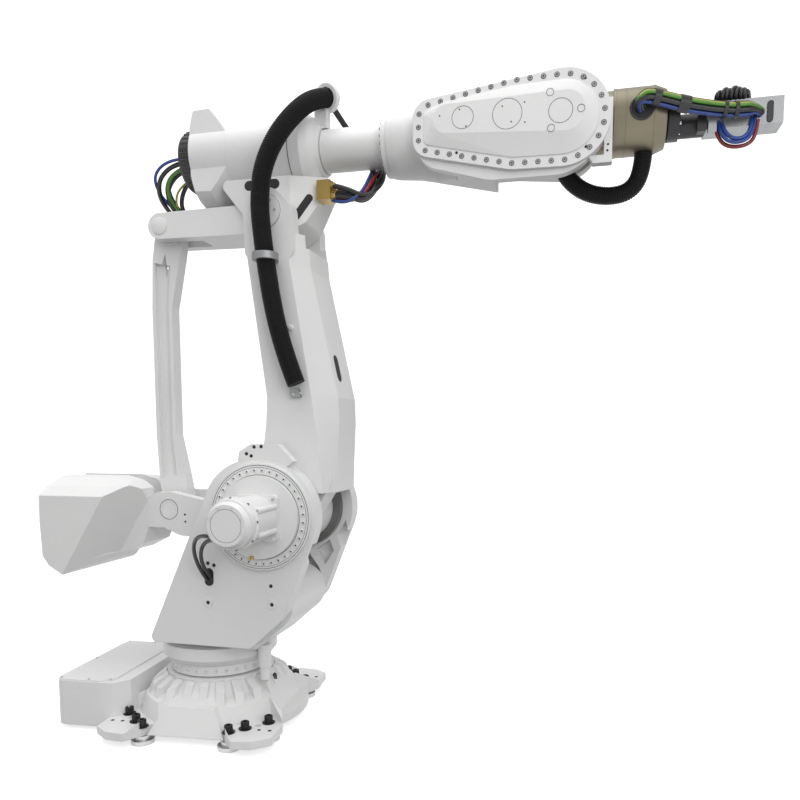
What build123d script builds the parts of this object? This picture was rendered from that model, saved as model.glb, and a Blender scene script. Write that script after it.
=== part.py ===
from build123d import *

import math
import os

# Driving dimensions, mm and degrees. +X is the way the arm reaches, +Z is up, the floor is z = 0
# and the first axis, about which everything above the base turns, is the Z axis.
SHOULDER_X = 437
SHOULDER_Z = 1208
LOWER_ARM = 1550
ELBOW_RISE = 355
LINK = 668
WRIST_REACH = 1467
FLANGE_REACH = 486
BASE_TURN = 4.2

# Places that follow from them.
ELBOW_X = SHOULDER_X
ELBOW_Z = SHOULDER_Z + LOWER_ARM
ROLL_Z = ELBOW_Z + ELBOW_RISE
REAR_X = SHOULDER_X - LINK
WRIST_X = ELBOW_X + WRIST_REACH
FLANGE_X = WRIST_X + FLANGE_REACH

# Clearances: between moving castings, round a pin in its bore, and past a face that is cut through.
RUN = 6
PIN_GAP = 0.3
OVERRUN = 10

# Widths across the machine, measured from its middle plane.
CHEEK_IN = 250
CHEEK_OUT = 348
ARM_HALF = CHEEK_IN - RUN
EAR_IN = 156
HOUSING_HALF = EAR_IN - RUN
ROD_HALF = 55
FORK_IN = ROD_HALF + RUN
FORK_OUT = 132


def bar_y(radius, x, z, y_low, y_high):
    """A round bar or bore along Y."""
    return Pos(x, (y_low + y_high) / 2, z) * Rot(90, 0, 0) * Cylinder(radius, y_high - y_low)


def bar_x(radius, x_low, x_high, y, z):
    """A round bar or bore along X."""
    return Pos((x_low + x_high) / 2, y, z) * Rot(0, 90, 0) * Cylinder(radius, x_high - x_low)


def bar_z(radius, x, y, z_low, z_high):
    """A round bar or bore along Z."""
    return Pos(x, y, (z_low + z_high) / 2) * Cylinder(radius, z_high - z_low)


def block(x_low, x_high, y_low, y_high, z_low, z_high):
    """A plain block between two corners."""
    centre = Pos((x_low + x_high) / 2, (y_low + y_high) / 2, (z_low + z_high) / 2)
    return centre * Box(x_high - x_low, y_high - y_low, z_high - z_low)


def belt(circles):
    """The outline of a belt round circles (x, z, radius), given anticlockwise seen from -Y."""
    lines = []
    for (x1, z1, r1), (x2, z2, r2) in zip(circles, circles[1:] + circles[:1]):
        heading = math.atan2(z2 - z1, x2 - x1)
        out = heading - math.acos((r1 - r2) / math.hypot(x2 - x1, z2 - z1))
        lines.append((on_circle(x1, z1, r1, out), on_circle(x2, z2, r2, out), out))
    edges = []
    for place, (start, end, out) in enumerate(lines):
        edges.append(Line(start, end))
        x, z, radius = circles[(place + 1) % len(circles)]
        after, _, next_out = lines[(place + 1) % len(lines)]
        turn = (next_out - out) % (2 * math.pi)
        if radius * turn > PIN_GAP:
            edges.append(ThreePointArc(end, on_circle(x, z, radius, out + turn / 2), after))
    return Wire(edges)


def on_circle(x, z, radius, angle):
    """A point of a circle in the XZ plane."""
    return (x + radius * math.cos(angle), 0, z + radius * math.sin(angle))


def about(x, z, circles):
    """Circles given relative to a point, moved to it."""
    return [(x + dx, z + dz, radius) for dx, dz, radius in circles]


def side_plate(outline, y_low, y_high):
    """An outline in the XZ plane given its thickness along Y."""
    face = Pos(0, y_low, 0) * make_face(outline)
    return extrude(face, amount=y_high - y_low, dir=(0, 1, 0))


def side_polygon(x, z, points):
    """A closed outline through points given relative to (x, z)."""
    return Polyline([(x + dx, 0, z + dz) for dx, dz in points], close=True)


def plan_plate(points, z_low, z_high):
    """A closed outline through points (x, y) given its height along Z."""
    face = Pos(0, 0, z_low) * make_face(Polyline([(x, y, 0) for x, y in points], close=True))
    return extrude(face, amount=z_high - z_low, dir=(0, 0, 1))


def end_plate(points, x_low, x_high):
    """A closed outline through points (y, z) given its length along X."""
    face = Pos(x_low, 0, 0) * make_face(Polyline([(0, y, z) for y, z in points], close=True))
    return extrude(face, amount=x_high - x_low, dir=(1, 0, 0))


def turned_x(points, z):
    """A solid of revolution about the X-wise line at height z, from points (x, radius)."""
    face = make_face(Polyline([(x, 0, z + radius) for x, radius in points], close=True))
    return revolve(face, Axis((0, 0, z), (1, 0, 0)))


def turned_y(points, x, z):
    """A solid of revolution about the Y-wise line through (x, z), from points (y, radius)."""
    face = make_face(Polyline([(x + radius, y, z) for y, radius in points], close=True))
    return revolve(face, Axis((x, 0, z), (0, 1, 0)))


def turned_z(points):
    """A solid of revolution about the first axis, from points (radius, z)."""
    face = make_face(Polyline([(radius, 0, z) for radius, z in points], close=True))
    return revolve(face, Axis.Z)


def both_sides(piece):
    """A piece and its mirror image across the middle plane."""
    return [piece, mirror(piece, Plane.XZ)]


ARC_SHARE = 0.45


def hose(points, radius):
    """A tube along straight runs joined by arcs as large as the two runs allow."""
    corners = [Vector(*point) for point in points]
    radii = []
    for before, here, after in zip(corners, corners[1:], corners[2:]):
        turn = math.radians((here - before).get_angle(after - here))
        run = min((here - before).length, (after - here).length)
        radii.append(ARC_SHARE * run / math.tan(turn / 2))
    path = FilletPolyline(*corners, radius=radii)
    section = Plane(origin=path @ 0, z_dir=path % 0) * Circle(radius)
    return sweep(section, path=path)


def largest(piece):
    """The main solid of a cut that leaves crumbs."""
    return max(piece.solids(), key=lambda solid: solid.volume)


# Base casting: a low ribbed cone between two flat walls, on four foot plates.
BASE_TOP = 297
BASE_LOW = 45
FOOT_TOP = 87
SHELF_Z = 180
SHELF_R = 420
BASE_PROFILE = [(0, BASE_LOW), (468, BASE_LOW), (SHELF_R, SHELF_Z), (352, 215), (300, 275),
                (300, BASE_TOP), (0, BASE_TOP)]
RIB_PROFILE = [(290, 235), (410, 172), (384, 240), (306, 286)]
RIBS = 24
RIB_WIDE = 48
SQUARE_LOW = 430
SQUARE_TOP = 316
WALL_LOW = (215, 480)
WALL_TOP = (138, 412)
PLATE_R = 500
PLATE_HALF = 440
FOOT_OUTLINE = [(150, 250), (232, 500), (296, 576), (402, 562), (484, 502), (486, 330), (458, 262),
                (300, 150)]
WEB_OFFSETS = ((190, 216), (-140, -114))
WEB_REACH = 600
WEB_ROOT = 300
ANCHOR_HOLE_R = 17
ANCHOR_R = 512
PAD_R = 60
PAD_NECK_R = 42
PAD_THICK = 24
PAD_PLACES = ((242, 468), (-242, 468), (403, 322))
BEARING_R = 240
DRUM_GAP = 8
DRUM_LOW = BASE_TOP + DRUM_GAP


def quadrant_copies(piece):
    """The piece in all four quadrants, mirrored, so that the base is symmetric both ways."""
    near = [piece, mirror(piece, Plane.XZ)]
    return near + [mirror(one, Plane.YZ) for one in near]


def frustum(low, high, z_low, z_high):
    """A block with straight sloping sides between two half sizes (x, y)."""
    faces = [Pos(0, 0, z) * Rectangle(2 * x, 2 * y) for (x, y), z in ((low, z_low), (high, z_high))]
    return loft(faces, ruled=True)


def base_casting():
    """The cast foot of the machine, with its ribbed shoulder and the four foot plates."""
    rib = side_plate(side_polygon(0, 0, RIB_PROFILE), -RIB_WIDE / 2, RIB_WIDE / 2)
    casting = turned_z(BASE_PROFILE) + [Rot(0, 0, (step + 0.5) * 360 / RIBS) * rib for step in range(RIBS)]
    casting &= frustum((SQUARE_LOW, SQUARE_LOW), (SQUARE_TOP, SQUARE_TOP), BASE_LOW, BASE_TOP)
    casting += frustum(WALL_LOW, WALL_TOP, BASE_LOW, SHELF_Z)
    casting += bar_z(PLATE_R, 0, 0, BASE_LOW, FOOT_TOP) & block(
        -PLATE_R, PLATE_R, -PLATE_HALF, PLATE_HALF, BASE_LOW, FOOT_TOP)
    foot = plan_plate(FOOT_OUTLINE, BASE_LOW, FOOT_TOP)
    web_face = side_polygon(0, 0, [(WEB_ROOT, BASE_LOW), (WEB_REACH, BASE_LOW), (WEB_REACH, FOOT_TOP),
                                   (SHELF_R, SHELF_Z), (WEB_ROOT, SHELF_Z)])
    plan = plan_plate(FOOT_OUTLINE, BASE_LOW, BASE_TOP)
    webs = [(Rot(0, 0, 45) * side_plate(web_face, low, high)) & plan for low, high in WEB_OFFSETS]
    for piece in [foot] + webs:
        casting += quadrant_copies(piece)
    anchor = Rot(0, 0, 45) * bar_z(ANCHOR_HOLE_R, ANCHOR_R, 0, BASE_LOW - OVERRUN, FOOT_TOP + OVERRUN)
    casting -= quadrant_copies(anchor)
    casting += bar_z(BEARING_R, 0, 0, BASE_TOP, DRUM_LOW - PIN_GAP)
    return Rot(0, 0, BASE_TURN) * casting


def levelling_pads():
    """Round pads on which the foot plates are levelled, two to each front foot and one behind."""
    pads = []
    for x, y in PAD_PLACES:
        pad = bar_z(PAD_R, x, y, 0, PAD_THICK) + bar_z(PAD_NECK_R, x, y, PAD_THICK, BASE_LOW)
        pads += both_sides(pad)
    return Compound(children=[Rot(0, 0, BASE_TURN) * one for one in pads])


BUFFER_PLACE = (333, -20)
BUFFER_R = 16
BUFFER_HALF = 17
BUFFER_Z = 246
BUFFER_TURN = -5


def stop_buffer(casting):
    """A short black rubber roller on a block of the cone, under the sweep of the stop pin."""
    roller = bar_y(BUFFER_R, 0, BUFFER_Z, -BUFFER_HALF, BUFFER_HALF)
    stand = block(-BUFFER_R, BUFFER_R, -BUFFER_HALF, BUFFER_HALF, SHELF_Z, BUFFER_Z)
    return largest(Pos(*BUFFER_PLACE, 0) * Rot(0, 0, BUFFER_TURN) * (roller + stand) - casting)


BOX_REAR = 820
BOX_FRONT = 400
BOX_HALF = 372
BOX_LOW = 25
BOX_TOP = 274
BOX_ROUND = 60
BOX_BEVEL = 70
LID_THICK = 8
LID_INSET = 6
LID_FRONT = 480


def box_plan(inset, front):
    """The plan of the connection box: bevelled in front, to be rounded behind."""
    half, rear = BOX_HALF - inset, BOX_REAR - inset
    return [(-rear, -half), (-front - BOX_BEVEL, -half), (-front, BOX_BEVEL - half),
            (-front, half - BOX_BEVEL), (-front - BOX_BEVEL, half), (-rear, half)]


def connection_box(casting):
    """The closed box behind the base where the supply is connected."""
    box = plan_plate(box_plan(0, BOX_FRONT), BOX_LOW, BOX_TOP)
    box = fillet(box.edges().filter_by(Axis.Z).group_by(Axis.X)[0], BOX_ROUND)
    return largest(Rot(0, 0, BASE_TURN) * box - casting)


def box_lid():
    """The screwed lid of the connection box."""
    lid = plan_plate(box_plan(LID_INSET, LID_FRONT), BOX_TOP, BOX_TOP + LID_THICK)
    lid = fillet(lid.edges().filter_by(Axis.Z).group_by(Axis.X)[0], BOX_ROUND - LID_INSET)
    return Rot(0, 0, BASE_TURN) * lid


# Turret: the drum on the turning bearing and the casting whose two cheeks hold the shoulder.
FRAME_LOW = 470
DRUM_PROFILE = [(0, DRUM_LOW), (275, DRUM_LOW), (275, 362), (300, 374), (322, 402), (322, FRAME_LOW),
                (0, FRAME_LOW)]
SHOULDER_R = 295
CHEEK_FOOT = [(-195, 537, 30), (345, 535, 30), (400, 775, 170)]
CHEEK_REAR = -40
FLOOR_FOOT = [(-170, 505, 35), (330, 505, 35), (418, 722, 140), (-140, 600, 25)]
CHEEK_POCKETS = ([(60, -262), (150, -200), (176, -262), (120, -350)],
                 [(20, -285), (80, -368), (110, -450), (-20, -400)],
                 [(196, -170), (252, -80), (262, -150), (222, -250)])
POCKET_DEEP = 60
GEAR_R = 275
GEAR_THICK = 25
GEAR_DISC_R = 214
GEAR_DISC_THICK = 21
MOTOR_FLANGE = 118
MOTOR_FLANGE_THICK = 24
MOTOR_R = 118
MOTOR_CAP_R = 98
MOTOR_LONG = 282
MOTOR_CAP_THICK = 28
MOTOR_BEVEL = 5
SHOULDER_BORE_R = 200
OUTPUT_R = 235
OUTPUT_IN = 205


def turret_drum():
    """The round foot of the turret with its bolted ring."""
    return turned_z(DRUM_PROFILE)


def turret_frame():
    """The turret casting: floor, front wall and two cheeks with pockets inside."""
    circles = CHEEK_FOOT + about(SHOULDER_X, SHOULDER_Z, [(0, 0, SHOULDER_R), (CHEEK_REAR, 0, SHOULDER_R)])
    cheek = side_plate(belt(circles), -CHEEK_OUT, -CHEEK_IN)
    cheek -= bar_y(SHOULDER_BORE_R, SHOULDER_X, SHOULDER_Z, -CHEEK_OUT - OVERRUN, -CHEEK_IN + OVERRUN)
    for points in CHEEK_POCKETS:
        outline = side_polygon(SHOULDER_X, SHOULDER_Z, points)
        cheek -= side_plate(outline, -CHEEK_IN - POCKET_DEEP, -CHEEK_IN)
    frame = side_plate(belt(FLOOR_FOOT), -CHEEK_IN, CHEEK_IN)
    for side in both_sides(cheek):
        frame += side
    return frame - bar_z(PLATE_R, 0, 0, DRUM_LOW, FRAME_LOW)


def shoulder_gearbox(side):
    """The gearbox that fills a cheek's bore, with its bolted ring and raised disc."""
    body = bar_y(SHOULDER_BORE_R - PIN_GAP, SHOULDER_X, SHOULDER_Z, -CHEEK_OUT, -CHEEK_IN)
    ring = bar_y(GEAR_R, SHOULDER_X, SHOULDER_Z, -CHEEK_OUT - GEAR_THICK, -CHEEK_OUT)
    disc_out = -CHEEK_OUT - GEAR_THICK - GEAR_DISC_THICK
    disc = bar_y(GEAR_DISC_R, SHOULDER_X, SHOULDER_Z, disc_out, -CHEEK_OUT - GEAR_THICK)
    gearbox = body + ring + disc
    return gearbox if side < 0 else mirror(gearbox, Plane.XZ)


def output_flanges():
    """The dark bolted flanges of the gearboxes on the inner faces of the cheeks."""
    flange = bar_y(OUTPUT_R, SHOULDER_X, SHOULDER_Z, -CHEEK_IN, -OUTPUT_IN)
    boss = bar_y(SHOULDER_BORE_R - OVERRUN, SHOULDER_X, SHOULDER_Z, -OUTPUT_IN, -OUTPUT_IN + RUN - PIN_GAP)
    return Compound(children=both_sides(flange + boss))


def shoulder_motor(side):
    """The motor on the gearbox: square flange, round body and end cap."""
    seat = -CHEEK_OUT - GEAR_THICK - GEAR_DISC_THICK
    flange = block(SHOULDER_X - MOTOR_FLANGE, SHOULDER_X + MOTOR_FLANGE, seat - MOTOR_FLANGE_THICK, seat,
                   SHOULDER_Z - MOTOR_FLANGE, SHOULDER_Z + MOTOR_FLANGE)
    flange = fillet(flange.edges().filter_by(Axis.Y), MOTOR_FLANGE_THICK)
    body_in = seat - MOTOR_FLANGE_THICK
    body = bar_y(MOTOR_R, SHOULDER_X, SHOULDER_Z, body_in - MOTOR_LONG, body_in)
    cap = turned_y([(body_in - MOTOR_LONG, 0), (body_in - MOTOR_LONG, MOTOR_R - MOTOR_BEVEL),
                    (body_in - MOTOR_LONG - MOTOR_CAP_THICK, MOTOR_CAP_R),
                    (body_in - MOTOR_LONG - MOTOR_CAP_THICK, 0)], SHOULDER_X, SHOULDER_Z)
    motor = flange + body + cap
    return motor if side < 0 else mirror(motor, Plane.XZ)


STOP_OUTLINE = [(-129, 260), (-118, 333), (-53, 372), (95, 373), (180, 285), (120, 240), (-60, 240)]
STOP_IN = 290
PIN_PLACE = (338, -138)
PIN_STAGES = ((36, 345, 470), (28, 272, 345))


def stop_bracket():
    """The low bracket on the rim of the near cheek, over the shoulder."""
    plate = side_plate(side_polygon(SHOULDER_X, SHOULDER_Z, STOP_OUTLINE), -CHEEK_OUT, -STOP_IN)
    for dx in (0, CHEEK_REAR):
        plate -= bar_y(SHOULDER_R, SHOULDER_X + dx, SHOULDER_Z, -CHEEK_OUT - OVERRUN, -STOP_IN + OVERRUN)
    return plate - block(SHOULDER_X + CHEEK_REAR, SHOULDER_X, -CHEEK_OUT, -STOP_IN, SHOULDER_Z,
                         SHOULDER_Z + SHOULDER_R)


def stop_pin(drum, frame):
    """The stepped pin that hangs from the turret beside the drum."""
    pin = bar_z(PIN_STAGES[0][0], *PIN_PLACE, *PIN_STAGES[0][1:])
    for radius, low, high in PIN_STAGES[1:]:
        pin += bar_z(radius, *PIN_PLACE, low, high)
    return largest(pin - drum - frame)


MOTOR_CABLE_R = 10
MOTOR_CABLES = (((330, -640, 1130), (245, -600, 1150), (140, -520, 1090), (120, -450, 960),
                 (119, -CHEEK_OUT, 866)),
                ((335, -600, 1110), (262, -560, 1122), (166, -490, 1060), (138, -430, 950),
                 (140, -CHEEK_OUT, 880)))


def motor_cables(others):
    """The two cables from the near motor into the cheek."""
    cables = [largest(hose(points, MOTOR_CABLE_R) - others) for points in MOTOR_CABLES]
    return Compound(children=cables)


# Lower arm: a bevelled casting on a round hub, forked at the top for the elbow. Each level gives
# the height over the shoulder as a share of the arm, then rear, bevel and front edge from the axis.
HUB_R = 190
HUB_IN = -25
HUB_OUT = OUTPUT_IN - RUN
ARM_FOOT = 0.075
ARM_FRONT_HALF = 142
ARM_LEVELS = ((ARM_FOOT, -50, 294, 338), (0.17, -42, 285, 343), (0.31, -12, 258, 354),
              (0.395, -4, 240, 350), (0.82, -92, 135, 208), (0.93, -113, 118, 194))
ROOT_CIRCLES = [(265, 175, 60), (20, 175, 60)]
EAR_R = 118
EAR_CIRCLES = [(-62, -190, 50), (82, -190, 70), (66, -10, 80), (0, 0, EAR_R)]
FORK_CUT = [(400, -175), (24, -175), (-10, -215), (-500, -1064), (-500, 300), (400, 300)]
LEVER_HUB_R = 190
ELBOW_PIN_R = 70
ELBOW_CAP_R = 86
ELBOW_CAP_THICK = 12


def arm_section(share, rear, bevel, front):
    """One level of the arm: flat sides that are bevelled towards a narrower front face."""
    points = [(rear, -ARM_HALF), (bevel, -ARM_HALF), (front, -ARM_FRONT_HALF),
              (front, ARM_FRONT_HALF), (bevel, ARM_HALF), (rear, ARM_HALF)]
    height = SHOULDER_Z + share * LOWER_ARM
    return make_face(Polyline([(SHOULDER_X + x, y, height) for x, y in points], close=True))


def lower_arm():
    """The lower arm casting: hub, tapering bevelled body and a fork for the elbow."""
    sections = [arm_section(*level) for level in ARM_LEVELS]
    arm = loft(sections[:2], ruled=True)
    for low, high in zip(sections[1:], sections[2:]):
        arm += loft([low, high], ruled=True)
    fork_cut = side_polygon(ELBOW_X, ELBOW_Z, FORK_CUT)
    arm -= side_plate(fork_cut, -EAR_IN, EAR_IN)
    arm -= bar_y(LEVER_HUB_R + RUN, SHOULDER_X, SHOULDER_Z, HUB_IN, CHEEK_IN)
    arm -= bar_y(OUTPUT_R + RUN, SHOULDER_X, SHOULDER_Z, HUB_OUT, CHEEK_IN)
    arm -= bar_y(OUTPUT_R + RUN, SHOULDER_X, SHOULDER_Z, -CHEEK_IN, -HUB_OUT)
    arm += bar_y(HUB_R, SHOULDER_X, SHOULDER_Z, -HUB_OUT, HUB_IN)
    root = belt(about(SHOULDER_X, SHOULDER_Z, [(0, 0, HUB_R)] + ROOT_CIRCLES))
    arm += side_plate(root, -HUB_OUT, HUB_IN)
    ear = side_plate(belt(about(ELBOW_X, ELBOW_Z, EAR_CIRCLES)), -ARM_HALF, -EAR_IN)
    for side in both_sides(ear):
        arm += side
    reach = ARM_HALF + OVERRUN
    return arm - bar_y(ELBOW_PIN_R + PIN_GAP, ELBOW_X, ELBOW_Z, -reach, reach)


def elbow_caps():
    """The round covers over the elbow bearings."""
    cap = bar_y(ELBOW_CAP_R, ELBOW_X, ELBOW_Z, -ARM_HALF - ELBOW_CAP_THICK, -ARM_HALF)
    return Compound(children=both_sides(cap))


def elbow_pin():
    """The shaft on which the upper arm turns in the fork of the lower arm."""
    return bar_y(ELBOW_PIN_R, ELBOW_X, ELBOW_Z, -ARM_HALF + PIN_GAP, ARM_HALF - PIN_GAP)


# Dress hose: from a bracket on the near side of the arm, through a clamp, over the elbow.
HOSE_R = 47
HOSE_Y = -312
HOSE_LOW = ((619, -300, 1885), (578, -304, 1990), (512, HOSE_Y, 2225), (468, HOSE_Y, 2510),
            (446, HOSE_Y, 2720), (446, HOSE_Y, 2758))
HOSE_HIGH = ((446, HOSE_Y, 2758.5), (446, HOSE_Y, 2830), (470, -314, 2960), (545, -300, 3110),
             (634, -212, 3262), (688, -96, 3346), (712, -20, 3372))
CLAMP_Z = 2513
CLAMP_X = 470
CLAMP_R = 66
CLAMP_HALF = 17
CLAMP_LUG = 40
TAB_OUTLINE = [(126, 662), (178, 656), (192, 612), (138, 608)]
TAB_OUT = 268


def hose_clamp():
    """The ring round the dress hose on the side of the arm."""
    ring = bar_z(CLAMP_R, CLAMP_X, HOSE_Y, CLAMP_Z - CLAMP_HALF, CLAMP_Z + CLAMP_HALF)
    lug = block(CLAMP_X - CLAMP_LUG, CLAMP_X + CLAMP_LUG, HOSE_Y, -ARM_HALF, CLAMP_Z - CLAMP_HALF,
                CLAMP_Z + CLAMP_HALF)
    ring = ring + lug - hose(HOSE_LOW, HOSE_R + PIN_GAP)
    return largest(ring - block(ELBOW_X - ARM_HALF, ELBOW_X + ARM_HALF, -ARM_HALF, 0, SHOULDER_Z, ELBOW_Z))


def hose_bracket():
    """The plate tab that holds the lower end of the dress hose."""
    return side_plate(side_polygon(SHOULDER_X, SHOULDER_Z, TAB_OUTLINE), -TAB_OUT, -ARM_HALF)


# Upper arm: tube, saddle and rear link in one casting, with its bell, cap and rings.
TUBE_R = 187
TUBE_REAR = 190
TUBE_FRONT = 535
RING_FRONT = 680
RING_PROFILE = [(TUBE_FRONT, 0), (TUBE_FRONT, 187), (600, 187), (636, 165), (664, 128), (RING_FRONT, 122),
                (RING_FRONT, 0)]
SADDLE_CIRCLES = [(0, 0, 118), (150, -6, 34), (268, 168, 30), (-245, 168, 30)]
SADDLE_BEVEL = [(100, -HOUSING_HALF - OVERRUN), (100, -HOUSING_HALF), (300, -62),
                (300, -HOUSING_HALF - OVERRUN)]
LINK_R = 69
LINK_CIRCLES = [(-LINK, 0, LINK_R), (0, 0, 78)]
LINK_PIN_R = 42
LINK_SLOT_REACH = 215
ROD_HEAD_R = 84
BELL_REAR = -14
BELL_HALF = 165
BELL_PROFILE = [(BELL_REAR, 0), (BELL_REAR, 205), (8, 262), (100, 265), (TUBE_REAR, TUBE_R), (TUBE_REAR, 0)]
CAP_REAR = -105
CAP_PROFILE = [(CAP_REAR, 0), (CAP_REAR, 132), (-97, 148), (-81, 157), (BELL_REAR, 160), (BELL_REAR, 0)]


def elbow_housing():
    """The casting that joins the roll tube, the elbow bore and the rear link."""
    tube = bar_x(TUBE_R, TUBE_REAR, TUBE_FRONT, 0, ROLL_Z)
    saddle = side_plate(belt(about(ELBOW_X, ELBOW_Z, SADDLE_CIRCLES)), -HOUSING_HALF, HOUSING_HALF)
    bevel = plan_plate([(ELBOW_X + x, y) for x, y in SADDLE_BEVEL], ELBOW_Z - TUBE_R, ROLL_Z)
    for side in both_sides(bevel):
        saddle -= side
    link = side_plate(belt(about(ELBOW_X, ELBOW_Z, LINK_CIRCLES)), -FORK_OUT, FORK_OUT)
    slot = block(REAR_X - LINK_R - OVERRUN, REAR_X + LINK_SLOT_REACH, -FORK_IN, FORK_IN,
                 ELBOW_Z - 2 * LINK_R, ELBOW_Z + 2 * LINK_R)
    housing = tube + saddle + link - slot
    housing -= turned_x(RING_PROFILE, ROLL_Z)
    reach = HOUSING_HALF + OVERRUN
    housing -= bar_y(ELBOW_PIN_R + PIN_GAP, ELBOW_X, ELBOW_Z, -reach, reach)
    reach = FORK_OUT + OVERRUN
    return largest(housing - bar_y(LINK_PIN_R, REAR_X, ELBOW_Z, -reach, reach))


def link_pin():
    """The pin that the rear link carries for the top of the rod."""
    return bar_y(LINK_PIN_R, REAR_X, ELBOW_Z, -FORK_OUT, FORK_OUT)


def rear_bell(housing):
    """The conical cover behind the roll tube, flat on its two sides."""
    sides = block(BELL_REAR, TUBE_REAR, -BELL_HALF, BELL_HALF, ROLL_Z - TUBE_FRONT, ROLL_Z + TUBE_FRONT)
    bell = turned_x(BELL_PROFILE, ROLL_Z) & (sides + bar_x(TUBE_R, BELL_REAR, TUBE_REAR, 0, ROLL_Z))
    return largest(bell - housing)


def rear_cap():
    """The ribbed cap that closes the bell."""
    return turned_x(CAP_PROFILE, ROLL_Z)


def bearing_ring():
    """The stepped ring in which the forearm rolls."""
    return turned_x(RING_PROFILE, ROLL_Z)


SADDLE_RING_X = (668, 706)
SADDLE_RING_R = 60
SADDLE_POST = (640, 672)


def hose_ring():
    """The ring on the roll bearing through which the dress hose ends."""
    x, y, z = HOSE_HIGH[-1]
    ring = bar_x(SADDLE_RING_R, *SADDLE_RING_X, y, z - OVERRUN)
    post = block(SADDLE_POST[0], SADDLE_RING_X[1], y - SADDLE_RING_R / 2, y + SADDLE_RING_R / 2,
                 ROLL_Z, z - OVERRUN)
    ring = ring + post - turned_x(RING_PROFILE, ROLL_Z) - bar_x(
        FOREARM_R + RUN, RING_FRONT, FOREARM_END, 0, ROLL_Z)
    return largest(ring - hose(HOSE_HIGH, HOSE_R + PIN_GAP))


BLOCK_BOX = ((680, 752), (-138, -52), (-285, -188))


def connector_block(housing):
    """The brass connector block under the front of the saddle."""
    (x_low, x_high), (y_low, y_high), (low, high) = BLOCK_BOX
    return largest(block(x_low, x_high, y_low, y_high, ROLL_Z + low, ROLL_Z + high) - housing)


CABLE_R = 12
FRONT_CABLES = (((752, -120, 2900), (830, -125, 2880), (930, -110, 2830), (992, -80, 2880), (990, 40, 2970),
                 (960, 140, 3070), (860, 165, 3150), (770, 140, 3255), (718, 10, 3350)),
                ((752, -95, 2870), (830, -100, 2850), (915, -90, 2812), (970, -60, 2870), (962, 50, 2975),
                 (925, 150, 3090), (835, 168, 3170), (760, 130, 3262), (718, 20, 3335)),
                ((752, -70, 2885), (820, -75, 2875), (890, -70, 2850), (940, -40, 2895), (935, 60, 2980),
                 (895, 150, 3110), (815, 165, 3190), (750, 120, 3280), (718, -10, 3350)))
REAR_CABLES = (((CAP_REAR, -50, 3110), (-200, -56, 3100), (-300, -40, 3010), (-310, 50, 2905),
                (-228, 96, 2829)),
               ((CAP_REAR, 0, 3090), (-180, -5, 3080), (-270, 10, 2990), (-270, 60, 2900),
                (-190, 90, 2829)),
               ((CAP_REAR, 45, 3070), (-150, 55, 3055), (-215, 70, 2970), (-220, 90, 2890),
                (-150, 100, 2829)))


def cable_set(paths, radius, others):
    """Several cables as one loom, cut clear of what they enter."""
    return Compound(children=[largest(hose(points, radius) - others) for points in paths])


# Balance lever, counterweight and rod.
WEIGHT_FRONT = -134
LEVER_R = 105
LEVER_NEAR = [(0, -5, LEVER_R), (90, -38, 110), (330, -62, 92)]
LEVER_FAR = [(0, -5, LEVER_R), (548, -70, 92), (638, -20, 120)]
LEVER_BRIDGE = [(190, -80, 60), (324, -66, 74)]
LEVER_TAIL = [(WEIGHT_FRONT, -104), (10, -104), (10, 96), (-70, 96), (WEIGHT_FRONT, 60)]
LEVER_PIN_R = 42
WEIGHT_OUTLINE = [(-684, 188), (WEIGHT_FRONT, 188), (WEIGHT_FRONT, -115), (-170, -198), (-280, -252),
                  (-360, -250), (-462, -290), (-508, -335), (-555, -362), (-641, -312), (-679, -260),
                  (-688, -64)]
WEIGHT_HALF = 330
WEIGHT_CROWN = [(0, 192), (150, 178), (262, 132), (WEIGHT_HALF, 82)]
WEIGHT_TOP = 400
WEIGHT_FALL = [(-700, 205), (-345, 198), (-200, 162), (WEIGHT_FRONT, 118), (WEIGHT_FRONT, WEIGHT_TOP),
               (-700, WEIGHT_TOP)]
WEIGHT_BEVEL_AT = (-319, -WEIGHT_HALF, 18)
WEIGHT_BEVEL_DIR = (0.691, -0.576, -0.436)
WEIGHT_CORE = -480
CHANNEL_DEEP = 130


def balance_lever():
    """The lever on the shoulder axis: a far hub, a bridge and a fork for the foot of the rod."""
    hub_in = HUB_IN + RUN
    far = side_plate(belt(about(REAR_X, SHOULDER_Z, LEVER_FAR)), FORK_IN, FORK_OUT)
    near = side_plate(belt(about(REAR_X, SHOULDER_Z, LEVER_NEAR)), -FORK_OUT, -FORK_IN)
    lever = far + near + side_plate(belt(about(REAR_X, SHOULDER_Z, LEVER_BRIDGE)), -FORK_OUT, FORK_OUT)
    tail = side_plate(side_polygon(REAR_X, SHOULDER_Z, LEVER_TAIL), -FORK_OUT, -FORK_IN)
    for side in both_sides(tail):
        lever += side
    lever -= bar_y(HUB_R + RUN, SHOULDER_X, SHOULDER_Z, -CHEEK_IN, hub_in)
    lever += bar_y(LEVER_HUB_R, SHOULDER_X, SHOULDER_Z, hub_in, HUB_OUT)
    reach = FORK_OUT + OVERRUN
    return lever - bar_y(LEVER_PIN_R + PIN_GAP, REAR_X, SHOULDER_Z, -reach, reach)


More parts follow.
